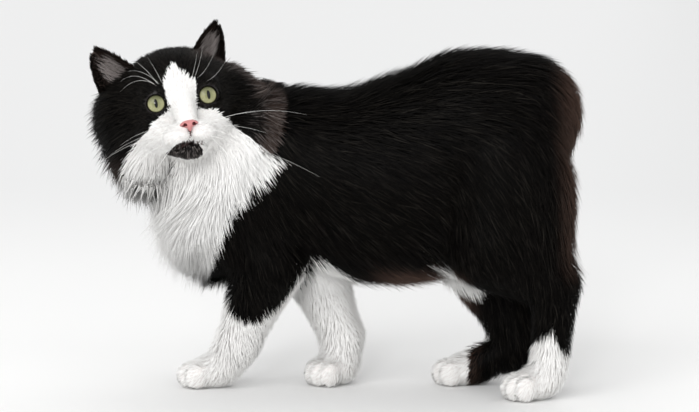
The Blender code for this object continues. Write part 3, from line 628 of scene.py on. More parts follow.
class Wire:
    """A shader value. Arithmetic on it adds Math nodes, and node() adds any other node."""

    def __init__(self, tree, socket=None):
        self.tree = tree
        self.socket = socket

    def node(self, kind, settings=None, inputs=None, output=0):
        """A new node: its settings, then the values or wires of its sockets."""
        made = self.tree.nodes.new(kind)
        for name, value in (settings or {}).items():
            if name == "stops":
                for slot, (place, colour) in enumerate(value):
                    stop = made.color_ramp.elements[slot] if slot < 2 else made.color_ramp.elements.new(place)
                    stop.position = place
                    stop.color = (*colour, 1.0)
            else:
                setattr(made, name, value)
        for key, value in (inputs or {}).items():
            if isinstance(value, Wire):
                self.tree.links.new(value.socket, made.inputs[key])
            else:
                made.inputs[key].default_value = value
        return Wire(self.tree, made.outputs[output])

    def math(self, operation, *values):
        """A Math node on numbers and wires."""
        return self.node("ShaderNodeMath", {"operation": operation}, dict(enumerate(values)))

    def __add__(self, other):
        return self.math("ADD", self, other)

    def __radd__(self, other):
        return self.math("ADD", other, self)

    def __sub__(self, other):
        return self.math("SUBTRACT", self, other)

    def __rsub__(self, other):
        return self.math("SUBTRACT", other, self)

    def __mul__(self, other):
        return self.math("MULTIPLY", self, other)

    def __rmul__(self, other):
        return self.math("MULTIPLY", other, self)

    def __truediv__(self, other):
        return self.math("DIVIDE", self, other)

    def __pow__(self, other):
        return self.math("POWER", self, other)

    def attribute(self, name):
        """A number stored on the mesh."""
        return self.node("ShaderNodeAttribute", {"attribute_name": name}, output=2)

    def mix(self, share, first, second):
        """A colour between two others."""
        settings = {"data_type": "RGBA", "clamp_factor": True}
        return self.node("ShaderNodeMix", settings, {0: share, 6: first, 7: second}, output=2)

    def step(self, low, high):
        """0 below low and 1 above high."""
        settings = {"interpolation_type": "SMOOTHSTEP"}
        return self.node("ShaderNodeMapRange", settings, {0: self, 1: low, 2: high})

    def noise(self, scale, detail=3.0):
        """Noise on the piece's own coordinates."""
        place = self.node("ShaderNodeTexCoord", output=3)
        inputs = {"Vector": place, "Scale": scale, "Detail": detail}
        return self.node("ShaderNodeTexNoise", inputs=inputs)


def material_of(name):
    """A new material, as a wire to build from and its Principled shader."""
    made = bpy.data.materials.new(name)
    made.use_nodes = True
    return made, Wire(made.node_tree), made.node_tree.nodes["Principled BSDF"]


def plug(wire, shader, name):
    """Joins a wire to a socket of the shader."""
    wire.tree.links.new(wire.socket, shader.inputs[name])


def tone(red, green, blue):
    """A colour as a shader takes it."""
    return (red, green, blue, 1.0)


def skin_material():
    """Hide with the coat's markings, bare pinkish ears, dark lids and lips, and painted shade where the lips
    part.
    """
    made, wire, shader = material_of("hide")
    fine = wire.noise(900.0)
    black = wire.mix(fine, tone(0.002, 0.002, 0.002), tone(0.006, 0.005, 0.005))
    white = wire.mix(fine, tone(0.76, 0.72, 0.70), tone(0.88, 0.86, 0.84))
    colour = wire.mix(wire.attribute("white"), black, white)
    ear = wire.mix(fine, tone(0.030, 0.021, 0.018), tone(0.075, 0.055, 0.046))
    colour = wire.mix(wire.attribute("ear"), colour, ear)
    colour = wire.mix(wire.attribute("rim"), colour, tone(0.010, 0.008, 0.008))
    colour = wire.mix(wire.attribute("lips"), colour, tone(0.110, 0.060, 0.058))
    # Painted shade: near-black in the pressed-in gap where the lips part.
    colour = wire.mix(wire.attribute("gape"), colour, tone(0.006, 0.003, 0.003))
    plug(colour, shader, "Base Color")
    plug(0.75 - wire.attribute("rim") * 0.45, shader, "Roughness")
    shader.inputs["Specular IOR Level"].default_value = 0.15
    bump = wire.node("ShaderNodeBump", inputs={"Strength": 0.4, "Distance": 0.0004, "Height": fine})
    plug(bump, shader, "Normal")
    return made


def place(piece, material, slot_name):
    """Moves a piece from the plan to its place, dresses it and lets it ride."""
    set_vertices(piece, vertices_of(piece) - np.array(PLAN_CENTRE))
    piece.data.materials.clear()
    piece.data.materials.append(material)
    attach(piece, "root")


def corner_table(thing):
    """The corners of each triangle: points, and places on the unwrap."""
    thing.data.calc_loop_triangles()
    count = len(thing.data.loop_triangles)
    loops = np.empty(count * 3, np.int32)
    thing.data.loop_triangles.foreach_get("loops", loops)
    corners = np.empty(count * 3, np.int32)
    thing.data.loop_triangles.foreach_get("vertices", corners)
    places = np.empty(len(thing.data.loops) * 2, np.float32)
    thing.data.uv_layers["OFBake"].data.foreach_get("uv", places)
    points = vertices_of(thing)
    return points[corners].reshape(-1, 3, 3), places.reshape(-1, 2)[loops].reshape(-1, 3, 2).astype(float)


TRIANGLES, UNWRAPPED = corner_table(skin)
place(skin, skin_material(), "coat_black")
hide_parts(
    *("head", "neck", "torso", "ear_left", "ear_right"),
    *("foreleg_left", "foreleg_right", "hindleg_left", "hindleg_right"),
    *("forepaw_left", "forepaw_right", "hindpaw_left", "hindpaw_right"),
)


# Coat. Thousands of fine flat locks of hair, each one closed and tapered to a point, rooted in
# the skin. They lie back along the body, gather into soft clumps, and hang in a ruff and bib.

# How deep the coat stands in each region, and how long its hair is.
COAT = {
    "face": (0.0026, 0.0065),
    "lid": (0.0010, 0.0030),
    "nose": (0.0010, 0.0034),
    "chin": (0.0030, 0.0085),
    "crown": (0.0080, 0.0120),
    "cheek": (0.0330, 0.0480),
    "neck": (0.0450, 0.0520),
    "chest": (0.0460, 0.0560),
    "back": (0.0130, 0.0400),
    "flank": (0.0150, 0.0420),
    "belly": (0.0190, 0.0430),
    "thigh": (0.0130, 0.0380),
    "upper_arm": (0.0100, 0.0330),
    "shin": (0.0065, 0.0150),
    "forearm": (0.0070, 0.0130),
    "paw": (0.0022, 0.0050),
}
COAT_DEPTH = {region: depth for region, (depth, _) in COAT.items()}
HAIR_LENGTH = {region: length for region, (_, length) in COAT.items()}
RUFF = ("cheek", "neck", "chest")
# The way the hair runs: backwards, sideways and up.
LIE = {
    "back": (1.0, 0.0, -0.10),
    "flank": (0.90, 0.0, -0.45),
    "belly": (0.60, 0.0, -0.80),
    "thigh": (0.55, 0.0, -0.85),
    "upper_arm": (0.35, 0.0, -0.95),
    "shin": (0.25, 0.0, -1.0),
    "forearm": (0.25, 0.0, -1.0),
    "paw": (-0.8, 0.0, -0.5),
    "chest": (0.10, 0.0, -1.0),
}
PATCH = 0.003
CLEAR_OF_EYE = 0.0085
ROOT_DEPTH = 0.0006
LOOSE_SHARE = 0.11
LEAST_ABOVE_FLOOR = 0.0002
NOSE_MIDDLE = (0, -25.2, 26.6)
SHORT_RINGS = (0.0, 0.5, 1.0)
SHORT_SHAPE = (0.9, 0.85, 0.0)
BODY_SHAPE = (0.7, 1.0, 0.0)


def coat_share(points):
    """How much of the ruff's full depth there is at each point."""
    local = head_local(points)
    behind = smooth(-0.002, 0.026, -local[:, 2])
    below = smooth(0.044, 0.070, -local[:, 1])
    reach = np.linalg.norm(local, axis=1)
    upper = smooth(0.022, 0.050, local[:, 1]) * smooth(0.10, 0.05, reach)
    nape = smooth(0.225, 0.262, points[:, 2]) * (0.45 + 0.55 * smooth(0.075, 0.110, reach))
    withers = smooth(0.082, 0.106, reach) * smooth(0.215, 0.245, points[:, 2])
    chin = np.hypot((local[:, 0] + 0.0100) / 0.0185, (local[:, 1] + 0.0500) / 0.0150)
    chin = smooth(2.3, 0.85, chin) * smooth(-0.038, -0.016, local[:, 2])
    bare = np.maximum(0.8 * withers, chin)
    return np.maximum(behind, below) * (1.0 - 0.75 * np.maximum(nape, upper)) * (1.0 - bare) + 0.05


def by_region(sizes, points, nearness):
    """A size of the coat at each point, mixed from those of the regions about it."""
    ruff = coat_share(points)
    mixed = 0.0
    for name, share in nearness.items():
        mixed = mixed + sizes[name] * share * (ruff if name in RUFF else 1.0)
    return mixed / sum(nearness.values())


def lie_of_hair(points, nearness):
    """The unit way that the hair runs at each point, before it is laid on the surface."""
    nose_tip = np.array(head_point(0, -22, 34))
    away = unit(points - nose_tip)
    droop = smooth(0.02, 0.10, np.linalg.norm(points - nose_tip, axis=1))
    away = away + np.array((0.0, 0.0, -0.75)) * droop[:, None]
    rump = np.array((-0.3, 0.0, -1.1)) * smooth(0.130, 0.170, points[:, 0])[:, None]
    way = 0.0
    for region, weight in nearness.items():
        own = np.array(LIE[region]) + rump if region in LIE else away
        way = way + own * weight[:, None]
    way = unit(way)
    for side in (-1, 1):
        centre, looking = eye_frame(side)
        towards = np.array(centre + looking * 0.007) - points
        gap = np.linalg.norm(towards, axis=1)
        towards = towards / gap[:, None]
        inwards = np.maximum((way * towards).sum(axis=1), 0.0)
        way = way - towards * (inwards * smooth(0.026, 0.012, gap) * 1.15)[:, None]
    return unit(way)


def pick(weights, count, seed):
    """Triangles of the skin spread evenly by weight, with a point in each."""
    chance = np.random.default_rng(seed)
    edges = np.cumsum(weights)
    wanted = (np.arange(count) + chance.random(count)) / count * edges[-1]
    chosen = np.searchsorted(edges, wanted)
    first, second = chance.random((2, count))
    over = first + second > 1.0
    first, second = np.where(over, 1 - first, first), np.where(over, 1 - second, second)
    shares = np.stack([1 - first - second, first, second], axis=1)
    roots = (TRIANGLES[chosen] * shares[:, :, None]).sum(axis=1)
    spots = (UNWRAPPED[chosen] * shares[:, :, None]).sum(axis=1)
    return roots, spots, chosen


def lock_mesh(rings):
    """One lock, from 0 to 1 along Z, as its points and its faces' corners."""
    mesh = bmesh.new()
    lift = Matrix.Translation((0.0, 0.0, 0.5))
    bmesh.ops.create_cone(mesh, cap_ends=True, segments=3, radius1=1.0, radius2=0.0, depth=1.0, matrix=lift)
    bmesh.ops.remove_doubles(mesh, verts=mesh.verts[:], dist=1e-6)
    for height in rings[1:-1]:
        level = {"plane_co": (0, 0, height), "plane_no": (0, 0, 1)}
        bmesh.ops.bisect_plane(mesh, geom=mesh.verts[:] + mesh.edges[:] + mesh.faces[:], **level)
    bmesh.ops.recalc_face_normals(mesh, faces=mesh.faces[:])
    mesh.verts.index_update()
    points = np.array([vertex.co for vertex in mesh.verts])
    faces = [[vertex.index for vertex in face.verts] for face in mesh.faces]
    mesh.free()
    return points, faces


def comb(roots, lengths, rises, outs, rings, lie):
    """The line of each lock: the middle, side and outward way at each of its rings."""
    points = roots
    heading = None
    line = []
    for number, along in enumerate(rings):
        if number:
            points = points + heading * ((along - rings[number - 1]) * lengths)[:, None]
            distance, nearness = skin_distance(points)
            high = smooth(0.215, 0.235, points[:, 2])
            deepest = by_region(COAT_DEPTH, points, nearness) * 1.15 + 0.1 * (1.0 - high)
            below = np.minimum(rises * along**0.8, deepest) - distance
            points = points + outs * below[:, None]
            outs = unit(gradient(lambda spots: skin_distance(spots)[0], points))
        way = lie(points)
        way = unit(way - (way * outs).sum(axis=1)[:, None] * outs)
        heading = way if heading is None else unit(0.45 * heading + 0.55 * way)
        side = unit(np.cross(outs, heading))
        line.append((points, side, outs))
    return line


def clump(line, roots, every, pull, seed):
    """Draws the tips of locks towards one lock in many, so that they gather."""
    chance = np.random.default_rng(seed)
    leaders = chance.permutation(len(roots))[: max(1, len(roots) // every)]
    tree = kdtree.KDTree(len(leaders))
    for leader in leaders:
        tree.insert(roots[leader], int(leader))
    tree.balance()
    nearest = np.array([tree.find(root)[1] for root in roots])
    strength = pull * chance.uniform(0.5, 1.0, len(roots))
    gathered = []
    for number, (points, side, outs) in enumerate(line):
        share = (number / (len(line) - 1)) ** 1.3 * strength
        gathered.append((points + (points[nearest] - points) * share[:, None], side, outs))
    return gathered


def grow(name, line, spots, widths, numbers, rings, shape):
    """One joined mesh of locks along the lines, with their numbers and their unwrap."""
    base, faces = lock_mesh(rings)
    level = np.argmin(np.abs(base[:, 2][:, None] - np.array(rings)), axis=1)
    spread = base[:, :2] / np.maximum(1.0 - base[:, 2], 1e-6)[:, None]
    count, size = len(spots), len(base)
    points = np.empty((count, size, 3))
    facing = np.empty((count, size, 3))
    for slot in range(size):
        middle, side, out = line[level[slot]]
        facing[:, slot] = unit(out * 0.8 + side * spread[slot, 0] * 0.3 + out * spread[slot, 1] * 0.2)
        across = spread[slot, 0] * shape[level[slot]] * widths / 2
        deep = spread[slot, 1] * shape[level[slot]] * widths * 0.16
        points[:, slot] = middle + side * across[:, None] + out * deep[:, None]
    points = points - np.array(PLAN_CENTRE)
    points[:, :, 2] = np.maximum(points[:, :, 2], LEAST_ABOVE_FLOOR)
    corners = np.concatenate([np.array(face) for face in faces])
    starts = np.cumsum([0] + [len(face) for face in faces[:-1]])
    steps = np.arange(count)[:, None]
    data = bpy.data.meshes.new(name)
    data.vertices.add(count * size)
    data.vertices.foreach_set("co", points.astype(np.float32).ravel())
    data.loops.add(count * len(corners))
    data.loops.foreach_set("vertex_index", (steps * size + corners).astype(np.int32).ravel())
    data.polygons.add(count * len(faces))
    data.polygons.foreach_set("loop_start", (steps * len(corners) + starts).astype(np.int32).ravel())
    data.update(calc_edges=True)
    unwrap = data.uv_layers.new(name="OFBake")
    local = np.stack([spread[:, 0] * 0.3 + 0.5, base[:, 2] * 0.9 + 0.05], axis=1) - 0.5
    places = spots[:, None, :] + local[corners][None] * PATCH
    unwrap.data.foreach_set("uv", places.astype(np.float32).ravel())
    piece = bpy.data.objects.new(name, data)
    bpy.context.scene.collection.objects.link(piece)
    data.shade_smooth()
    data.normals_split_custom_set_from_vertices(facing.reshape(-1, 3))
    data.materials.append(HAIR)
    give(piece, "along", np.tile(base[:, 2], count))
    for key, values in numbers.items():
        give(piece, key, np.repeat(values, size))
    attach(piece, "root")
    return piece


def coat_material():
    """Hair: deep black with brown tips, partly rust and partly painted light glowing through them, or white
    that is warmer at the root.
    """
    made, wire, shader = material_of("hair")
    along = wire.attribute("along")
    own = wire.attribute("strand")
    tips = along.step(0.25, 0.95) * wire.attribute("brown")
    # Some black hairs lighter at random: partly grey-brown flecks, partly painted sheen; the face has more of
    # them.
    black = wire.mix(own**6.0, tone(0.0010, 0.0010, 0.0009), tone(0.0140, 0.0125, 0.0105))
    # Brown tips: partly rusty hair, partly painted light glowing through the tips at the coat's edges.
    black = wire.mix(tips, black, tone(0.100, 0.060, 0.046))
    white = wire.mix(along, tone(0.90, 0.885, 0.865), tone(0.98, 0.978, 0.965))
    white = wire.mix(own * 0.12, white, tone(0.82, 0.79, 0.75))
    colour = wire.mix(wire.attribute("white"), black, white)
    # Grey: painted highlights on black hair of the chin and the ruff's rim; in the ears, pale hair of its own
    # colour.
    colour = wire.mix(wire.attribute("grey"), colour, tone(0.27, 0.24, 0.23))
    plug(colour, shader, "Base Color")
    plug(wire.attribute("white") * 0.2 + 0.45, shader, "Roughness")
    shader.inputs["Specular IOR Level"].default_value = 0.035
    return made


HAIR = coat_material()
CROSSED = np.cross(TRIANGLES[:, 1] - TRIANGLES[:, 0], TRIANGLES[:, 2] - TRIANGLES[:, 0])
AREAS = np.linalg.norm(CROSSED, axis=1)
MIDDLES = TRIANGLES.mean(axis=1)
MIDDLE_FIELD, MIDDLE_NEARNESS = skin_distance(MIDDLES)
LENGTHS = by_region(HAIR_LENGTH, MIDDLES, MIDDLE_NEARNESS)
OFF_EAR = (MIDDLE_FIELD < 0.0015) & (MIDDLE_FIELD > -0.002)
AWAY_FROM_EYE = eye_gap(MIDDLES) > CLEAR_OF_EYE
NOSE_LOCAL = (MIDDLES - np.array(head_point(*NOSE_MIDDLE))) @ np.array(HEAD_AXES)
ON_WINGS = np.linalg.norm((NOSE_LOCAL - (0.0, 0.0014, 0.0)) / (0.0082, 0.0026, 0.009), axis=1) < 1.0
ON_STEM = np.linalg.norm(NOSE_LOCAL / (0.0028, 0.0052, 0.009), axis=1) < 1.0
OFF_NOSE = ~(ON_WINGS | ON_STEM)
LONG = smooth(0.016, 0.024, LENGTHS)


def lie_here(points):
    """The way of the hair at each point."""
    return lie_of_hair(points, skin_distance(points)[1])


def ends_at_rim(lengths, roots):
    """Ends the left cheek's locks along the ruff's edge, and the chest's above the forelegs."""
    side, up, out = head_local(roots).T
    reach = np.hypot(side - CHEEK_MIDDLE[0], up - CHEEK_MIDDLE[1])
    cheek = (side > 0.005) & (reach < 0.054) & (up > -0.042) & (out < 0.0)
    lengths = np.where(cheek, np.minimum(lengths, 0.064 - reach), lengths)
    hangs = roots[:, 0] < -0.080
    return np.where(hangs, np.minimum(lengths, np.maximum(roots[:, 2] - 0.110, 0.012)), lengths)


def grow_coat(name, weights, count, seed, shape, width, every, pull, spread, lowest, flecks_and_sheen, slot_name):
    """A part of the coat, rooted by weight; lowest is its inmost layer's share of its depth."""
    chance = np.random.default_rng(seed)
    roots, spots, _ = pick(weights, count, seed)
    nearness = skin_distance(roots)[1]
    lengths = by_region(HAIR_LENGTH, roots, nearness) * chance.uniform(0.75, 1.12, count)
    lengths = lengths * (0.25 + 0.75 * smooth(0.001, 0.012, mouth_distance(roots)))
    lengths = ends_at_rim(lengths, roots)
    depths = by_region(COAT_DEPTH, roots, nearness)
    rises = depths * chance.uniform(lowest, 1.0, count)
    loose = chance.random(count) < LOOSE_SHARE
    rises = np.where(loose, depths * chance.uniform(1.0, 1.25, count), rises)
    outs = unit(gradient(lambda spots: skin_distance(spots)[0], roots))
    stray = chance.normal(0.0, spread, (count, 3))
    sunk = roots - outs * ROOT_DEPTH
    line = comb(sunk, lengths, rises, outs, SHORT_RINGS, lambda spots: lie_here(spots) + stray)
    line = clump(line, roots, every, pull, seed + 1)
    seen, tips = line[-2][0], line[-1][0]
    # Painted highlights: grey on a share of the black hairs of the chin and along the ruff's rim.
    pale = np.maximum(0.7 * chin_of(seen), 0.6 * ruff_rim(tips))
    numbers = {
        "white": white_of(seen),
        "brown": brown_of(tips),
        "strand": chance.random(count) ** flecks_and_sheen,
        "grey": pale * chance.random(count) ** 3 * (1.0 - white_of(seen)),
    }
    widths = width * chance.uniform(0.7, 1.3, count)
    return grow(name, line, spots, widths, numbers, SHORT_RINGS, shape)


CLEAR_OF_LIPS = smooth(0.0006, 0.0014, mouth_distance(MIDDLES))
CLEAR_OF_LIPS = CLEAR_OF_LIPS * smooth(0.0022, 0.0030, gape_distance(MIDDLES))
SHORT = OFF_EAR & AWAY_FROM_EYE & OFF_NOSE
RUFF_NEAR = MIDDLE_NEARNESS["cheek"] + MIDDLE_NEARNESS["neck"] + MIDDLE_NEARNESS["chest"]
RUFF_SHARE = np.clip(RUFF_NEAR / sum(MIDDLE_NEARNESS.values()), 0.0, 1.0)
ON_HEAD = smooth(0.078, 0.064, np.linalg.norm(MIDDLES - np.array(head_point(0, -5, -12)), axis=1))
on_body = AREAS * OFF_EAR * LONG * (1.0 - RUFF_SHARE)
on_ruff = AREAS * OFF_EAR * LONG * RUFF_SHARE
on_face = AREAS * SHORT * CLEAR_OF_LIPS * (1.0 - LONG) * ON_HEAD
on_legs = AREAS * OFF_EAR * (1.0 - LONG) * (1.0 - ON_HEAD)
# A lock's shape and width, how many share a clump, how hard it draws them, how far they stray, the
# inmost layer's share of the depth, how few black hairs are lighter (partly flecks, partly painted sheen),
# and the slot.
body_look = (BODY_SHAPE, 0.00120, 24, 0.30, 0.16, 0.55, 1.0, "coat_black")
ruff_look = (BODY_SHAPE, 0.00110, 40, 0.12, 0.12, 0.85, 1.0, "coat_white")
face_look = (SHORT_SHAPE, 0.00078, 12, 0.12, 0.26, 0.50, 0.35, "coat_black")
legs_look = (SHORT_SHAPE, 0.00100, 20, 0.12, 0.16, 0.80, 1.0, "coat_black")
for part in range(3):
    grow_coat(f"coat_body_{part}", on_body, 19600, 100 + part, *body_look)
for part in range(3):
    grow_coat(f"coat_ruff_{part}", on_ruff, 15500, 200 + part, *ruff_look)
grow_coat("coat_face", on_face, 19600, 300, *face_look)
grow_coat("coat_legs", on_legs, 16500, 400, *legs_look)


# Ears. Thin upright flaps, black and short-haired behind, with bare dusky skin in the cup and
# long pale grey hairs that fan across it from the front edge.

EAR_NORMALS = unit(CROSSED)
ON_EAR = MIDDLE_FIELD > EAR_THICK
TUFT_RINGS = (0.0, 0.36, 0.70, 1.0)
TUFT_SHAPE = (0.55, 1.0, 0.72, 0.0)


def ear_hair(name, ear_name, kind, count, seed, length, width, rings, shape):
    """Hair of one kind on an ear: short on its back and its front fold, long within its cup."""
    chance = np.random.default_rng(seed)
    front, back, outer, _, rise = ear_corners(ear_name)
    upwards = rise / np.linalg.norm(rise)
    mouth = (front + outer) / 2 - back
    height, across = ear_shares(ear_name, MIDDLES)
    facing = EAR_NORMALS @ (mouth / np.linalg.norm(mouth))
    weights = AREAS * ON_EAR * (height > -0.3) * (height < 1.1) * (across > -0.3) * (across < 1.3)
    if kind == "back":
        weights = weights * (facing < -0.05) * (height < 0.92)
    elif kind == "fold":
        weights = weights * (facing > 0.0) * smooth(0.50, 0.35, across)
    else:
        weights = weights * (facing > 0.0) * smooth(0.55, 0.25, height) * smooth(0.12, 0.25, across)
        weights = weights * (across < 0.66) * (height > -0.15)
    roots, spots, chosen = pick(weights, count, seed)
    normals = EAR_NORMALS[chosen]
    lengths = length * chance.uniform(0.6, 1.1, count)
    over = unit((outer - front)[None])[0]
    fan = chance.normal(0.0, 0.25, count) + (0.35 if kind == "tuft" else 0.0)
    way = unit(upwards[None] + over * fan[:, None])
    hold = 0.7 if kind == "tuft" else 1.0
    way = unit(way - (way * normals).sum(axis=1)[:, None] * normals * hold)
    side = unit(np.cross(normals, way))
    lift = 0.0030 if kind == "tuft" else 0.0010
    line = []
    for along in rings:
        middle_at = roots + way * (lengths * along)[:, None] + normals * (lift * along - 0.0002)
        line.append((middle_at, side, normals))
    numbers = {
        "white": np.zeros(count),
        "brown": np.full(count, 0.15),
        "strand": chance.random(count),
        "grey": chance.uniform(0.3, 1.5, count) if kind == "tuft" else np.zeros(count),
    }
    widths = width * chance.uniform(0.7, 1.3, count)
    return grow(name, line, spots, widths, numbers, rings, shape)


short = (SHORT_RINGS, SHORT_SHAPE)
for number, ear_name in enumerate(EAR_SHAPES):
    ear_hair(f"ear_fur_{ear_name}", ear_name, "back", 2600, 500 + number, 0.0036, 0.0009, *short)
    ear_hair(f"ear_fold_{ear_name}", ear_name, "fold", 1500, 510 + number, 0.0050, 0.0008, *short)
    tuft = (240, 520 + number, 0.0150, 0.00036, TUFT_RINGS, TUFT_SHAPE)
    ear_hair(f"ear_tuft_{ear_name}", ear_name, "tuft", *tuft)


# Nose. A bare, slightly moist pad of pink leather, wide above and narrow below, with two
# comma-shaped nostrils that run out to its edges.

NOSE_HALF = Vector((0.0088, 0.0050, 0.0050))
NOSTRIL_HOLE = ((3.8, -24.3, 31.0), (0.0017, 0.0013, 0.0030), 35)
NOSTRIL_SLIT = ((6.4, -25.2, 29.6), (0.0030, 0.0008, 0.0028), -6)


def nose_width(heights):
    """How much of its full width the leather keeps at each height."""
    return 1.0 - 0.76 * smooth(0.0018, -0.0026, heights)


def make_nose():
    """The nose leather, finely shaped, with its nostrils cut."""
    at = head_point(*NOSE_MIDDLE)
    leather = ball("nose_leather", at, NOSE_HALF * HEAD_SIZE, HEAD_AXES, 6)
    local = (vertices_of(leather) - np.array(at)) @ np.array(HEAD_AXES)
    local[:, 0] *= nose_width(local[:, 1])
    set_vertices(leather, local @ np.array(HEAD_AXES).T + np.array(at))
    for side in (-1, 1):
        for (aside, up, out), half, degrees in (NOSTRIL_HOLE, NOSTRIL_SLIT):
            turned = HEAD_AXES @ Matrix.Rotation(math.radians(side * degrees), 3, "Z")
            hole = ball("nostril", head_point(side * aside, up, out), half, turned, 4)
            cut(leather, hole, "DIFFERENCE")
    return leather


def nose_material():
    """Pink leather with a fine pebbled grain, and painted shade darkening the nostrils."""
    made, wire, shader = material_of("nose_leather")
    place_on = wire.node("ShaderNodeTexCoord", output=3)
    grain = wire.node("ShaderNodeTexVoronoi", inputs={"Vector": place_on, "Scale": 1500.0})
    pink = wire.mix(wire.noise(500.0), tone(0.43, 0.145, 0.145), tone(0.58, 0.235, 0.23))
    colour = wire.mix(wire.attribute("hollow"), pink, tone(0.10, 0.012, 0.014))
    plug(colour, shader, "Base Color")
    shader.inputs["Roughness"].default_value = 0.38
    bump = wire.node("ShaderNodeBump", inputs={"Strength": 0.35, "Distance": 0.0003, "Height": grain})
    plug(bump, shader, "Normal")
    return made


nose = make_nose()
nose_local = (vertices_of(nose) - np.array(head_point(*NOSE_MIDDLE))) @ np.array(HEAD_AXES)
nose_local[:, 0] /= nose_width(nose_local[:, 1])
nose_reach = np.linalg.norm(nose_local / np.array(NOSE_HALF * HEAD_SIZE), axis=1)
# Painted shade: the nostrils' insides, within the pad's outline, are marked for darkening.
give(nose, "hollow", smooth(0.975, 0.89, nose_reach))
nose.data.shade_smooth()
place(nose, nose_material(), "nose_leather")
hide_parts("nose")


# Eyes. Glossy round balls in their sockets: a yellow-green iris with fine radial streaks and a
# dark edge, and a narrow upright pupil under a clear bulging cornea.

PUPIL_WIDE = 0.140
PUPIL_HIGH = 0.37
CORNEA_BULGE = 0.0004

def eye_material():
    """The iris and pupil under a clear wet coat."""
    made, wire, shader = material_of("eye")
    across, up = wire.attribute("across"), wire.attribute("up")
    radius = (across**2.0 + up**2.0) ** 0.5
    turn = across.math("ARCTAN2", up, across)
    streaks = wire.node(
        "ShaderNodeTexNoise",
        {"noise_dimensions": "2D"},
        {
            "Vector": wire.node("ShaderNodeCombineXYZ", inputs={0: turn * 9.0, 1: radius * 3.0}),
            "Scale": 2.2,
            "Detail": 4.0,
        },
    )
    iris = wire.mix(radius.step(0.12, 0.60), tone(0.200, 0.205, 0.095), tone(0.43, 0.42, 0.235))
    iris = wire.mix(streaks.step(0.38, 0.64) * 0.65, iris, tone(0.150, 0.155, 0.070))
    # Painted shade: the top of the iris is darkened, as under the upper lid.
    iris = wire.mix(up.step(-0.1, 0.62) * 0.80, iris, tone(0.060, 0.068, 0.034))
    iris = wire.mix(radius.step(0.58, 0.70), iris, tone(0.008, 0.007, 0.004))
    slit = (across * across / PUPIL_WIDE**2 + up * up / PUPIL_HIGH**2) ** 0.5
    colour = wire.mix(1.0 - slit.step(0.88, 1.05), iris, tone(0.001, 0.001, 0.001))
    plug(colour, shader, "Base Color")
    shader.inputs["Roughness"].default_value = 0.35
    shader.inputs["Specular IOR Level"].default_value = 0.08
    shader.inputs["Coat Weight"].default_value = 0.45
    shader.inputs["Coat Roughness"].default_value = 0.02
    return made


EYE = eye_material()
for side, eye_name in ((-1, "eye_right"), (1, "eye_left")):
    centre, looking = eye_frame(side)
    axes = eye_axes(looking)
    mesh = bmesh.new()
    bmesh.ops.create_uvsphere(mesh, u_segments=96, v_segments=64, radius=EYE_RADIUS, matrix=axes.to_4x4())
    bmesh.ops.translate(mesh, verts=mesh.verts[:], vec=centre)
    eyeball = object_of(eye_name + "_ball", mesh)
    local = (vertices_of(eyeball) - np.array(centre)) @ np.array(axes)
    give(eyeball, "across", local[:, 0] / EYE_RADIUS)
    give(eyeball, "up", local[:, 1] / EYE_RADIUS)
    bulge = CORNEA_BULGE * smooth(0.5, 0.95, local[:, 2] / EYE_RADIUS)
    set_vertices(eyeball, vertices_of(eyeball) + bulge[:, None] * np.array(looking))
    eyeball.data.shade_smooth()
    place(eyeball, EYE, "eye")
    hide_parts(eye_name)


# Whiskers. Stiff white bristles that taper to nothing, from the pads of the muzzle, and a few
# finer ones over each eye.

# Where each bristle starts across and up the face, the way it reaches, and how far it bows up.
WHISKERS = (
    ((12, -27), (90, -4, -20), 0.08),
    ((14, -31), (52, -44, 4), 0.12),
    ((15, -34), (38, -34, -10), -0.16),
    ((10, -29), (60, -14, -22), 0.07),
    ((13, -36), (86, -50, 4), 0.05),
    ((14, -28), (46, 6, -20), 0.06),
    ((-13, -26), (-44, -4, -22), 0.10),
    ((-15, -30), (-62, -12, -24), 0.07),
    ((-13, -34), (-56, -26, -22), 0.05),
    ((-10, -28), (-56, -8, -28), 0.08),
    ((-12, -37), (-48, -54, -22), 0.06),
    ((-14, -28), (-44, -16, -24), 0.04),
    ((-18, 12), (-30, 12, -2), 0.22),
    ((-17, 13), (-18, 26, 0), 0.10),
    ((-16, 12), (-34, 3, -2), 0.24),
    ((-15, 13), (-26, 18, -2), 0.16),
    ((-14, 14), (-9, 26, 0), 0.06),
    ((11, 15), (24, 22, 0), -0.16),
    ((12, 15), (14, 28, 0), -0.10),
    ((12, 13), (32, 16, -2), -0.20),
    ((11, 16), (9, 22, 0), -0.06),
)
BROW_THICK = 0.00012
WHISKER_THICK = 0.00017
WHISKER_STEPS = 12


def whisker(start, reach, bow):
    """A bristle from the skin, reaching a way on the plan of the skull and bowed upwards."""
    thick = BROW_THICK if start[1] > 0 else WHISKER_THICK
    root = np.array([head_point(start[0], start[1], 40)])
    facing = np.array(HEAD_AXES.col[2])
    for _ in range(60):
        root = root - facing * max(0.0, skin_distance(root)[0][0] * 0.8)
    root = Vector(root[0]) - Vector(facing) * 0.001
    way = HEAD_AXES @ (Vector(reach) * 0.001)
    bend = HEAD_AXES.col[1] * (bow * way.length)
    curve = bpy.data.curves.new("whisker", "CURVE")
    curve.dimensions = "3D"
    curve.bevel_depth = thick
    curve.bevel_resolution = 1
    curve.use_fill_caps = True
    line = curve.splines.new("POLY")
    line.points.add(WHISKER_STEPS)
    for number, point in enumerate(line.points):
        along = number / WHISKER_STEPS
        point.co = (*(root + way * along + bend * 4 * along * (1 - along)), 1.0)
        point.radius = 1.0 - 0.85 * along
    guide = bpy.data.objects.new("whisker", curve)
    bpy.context.scene.collection.objects.link(guide)
    graph = bpy.context.evaluated_depsgraph_get()
    made = bpy.data.meshes.new_from_object(guide.evaluated_get(graph))
    bpy.data.objects.remove(guide)
    return made


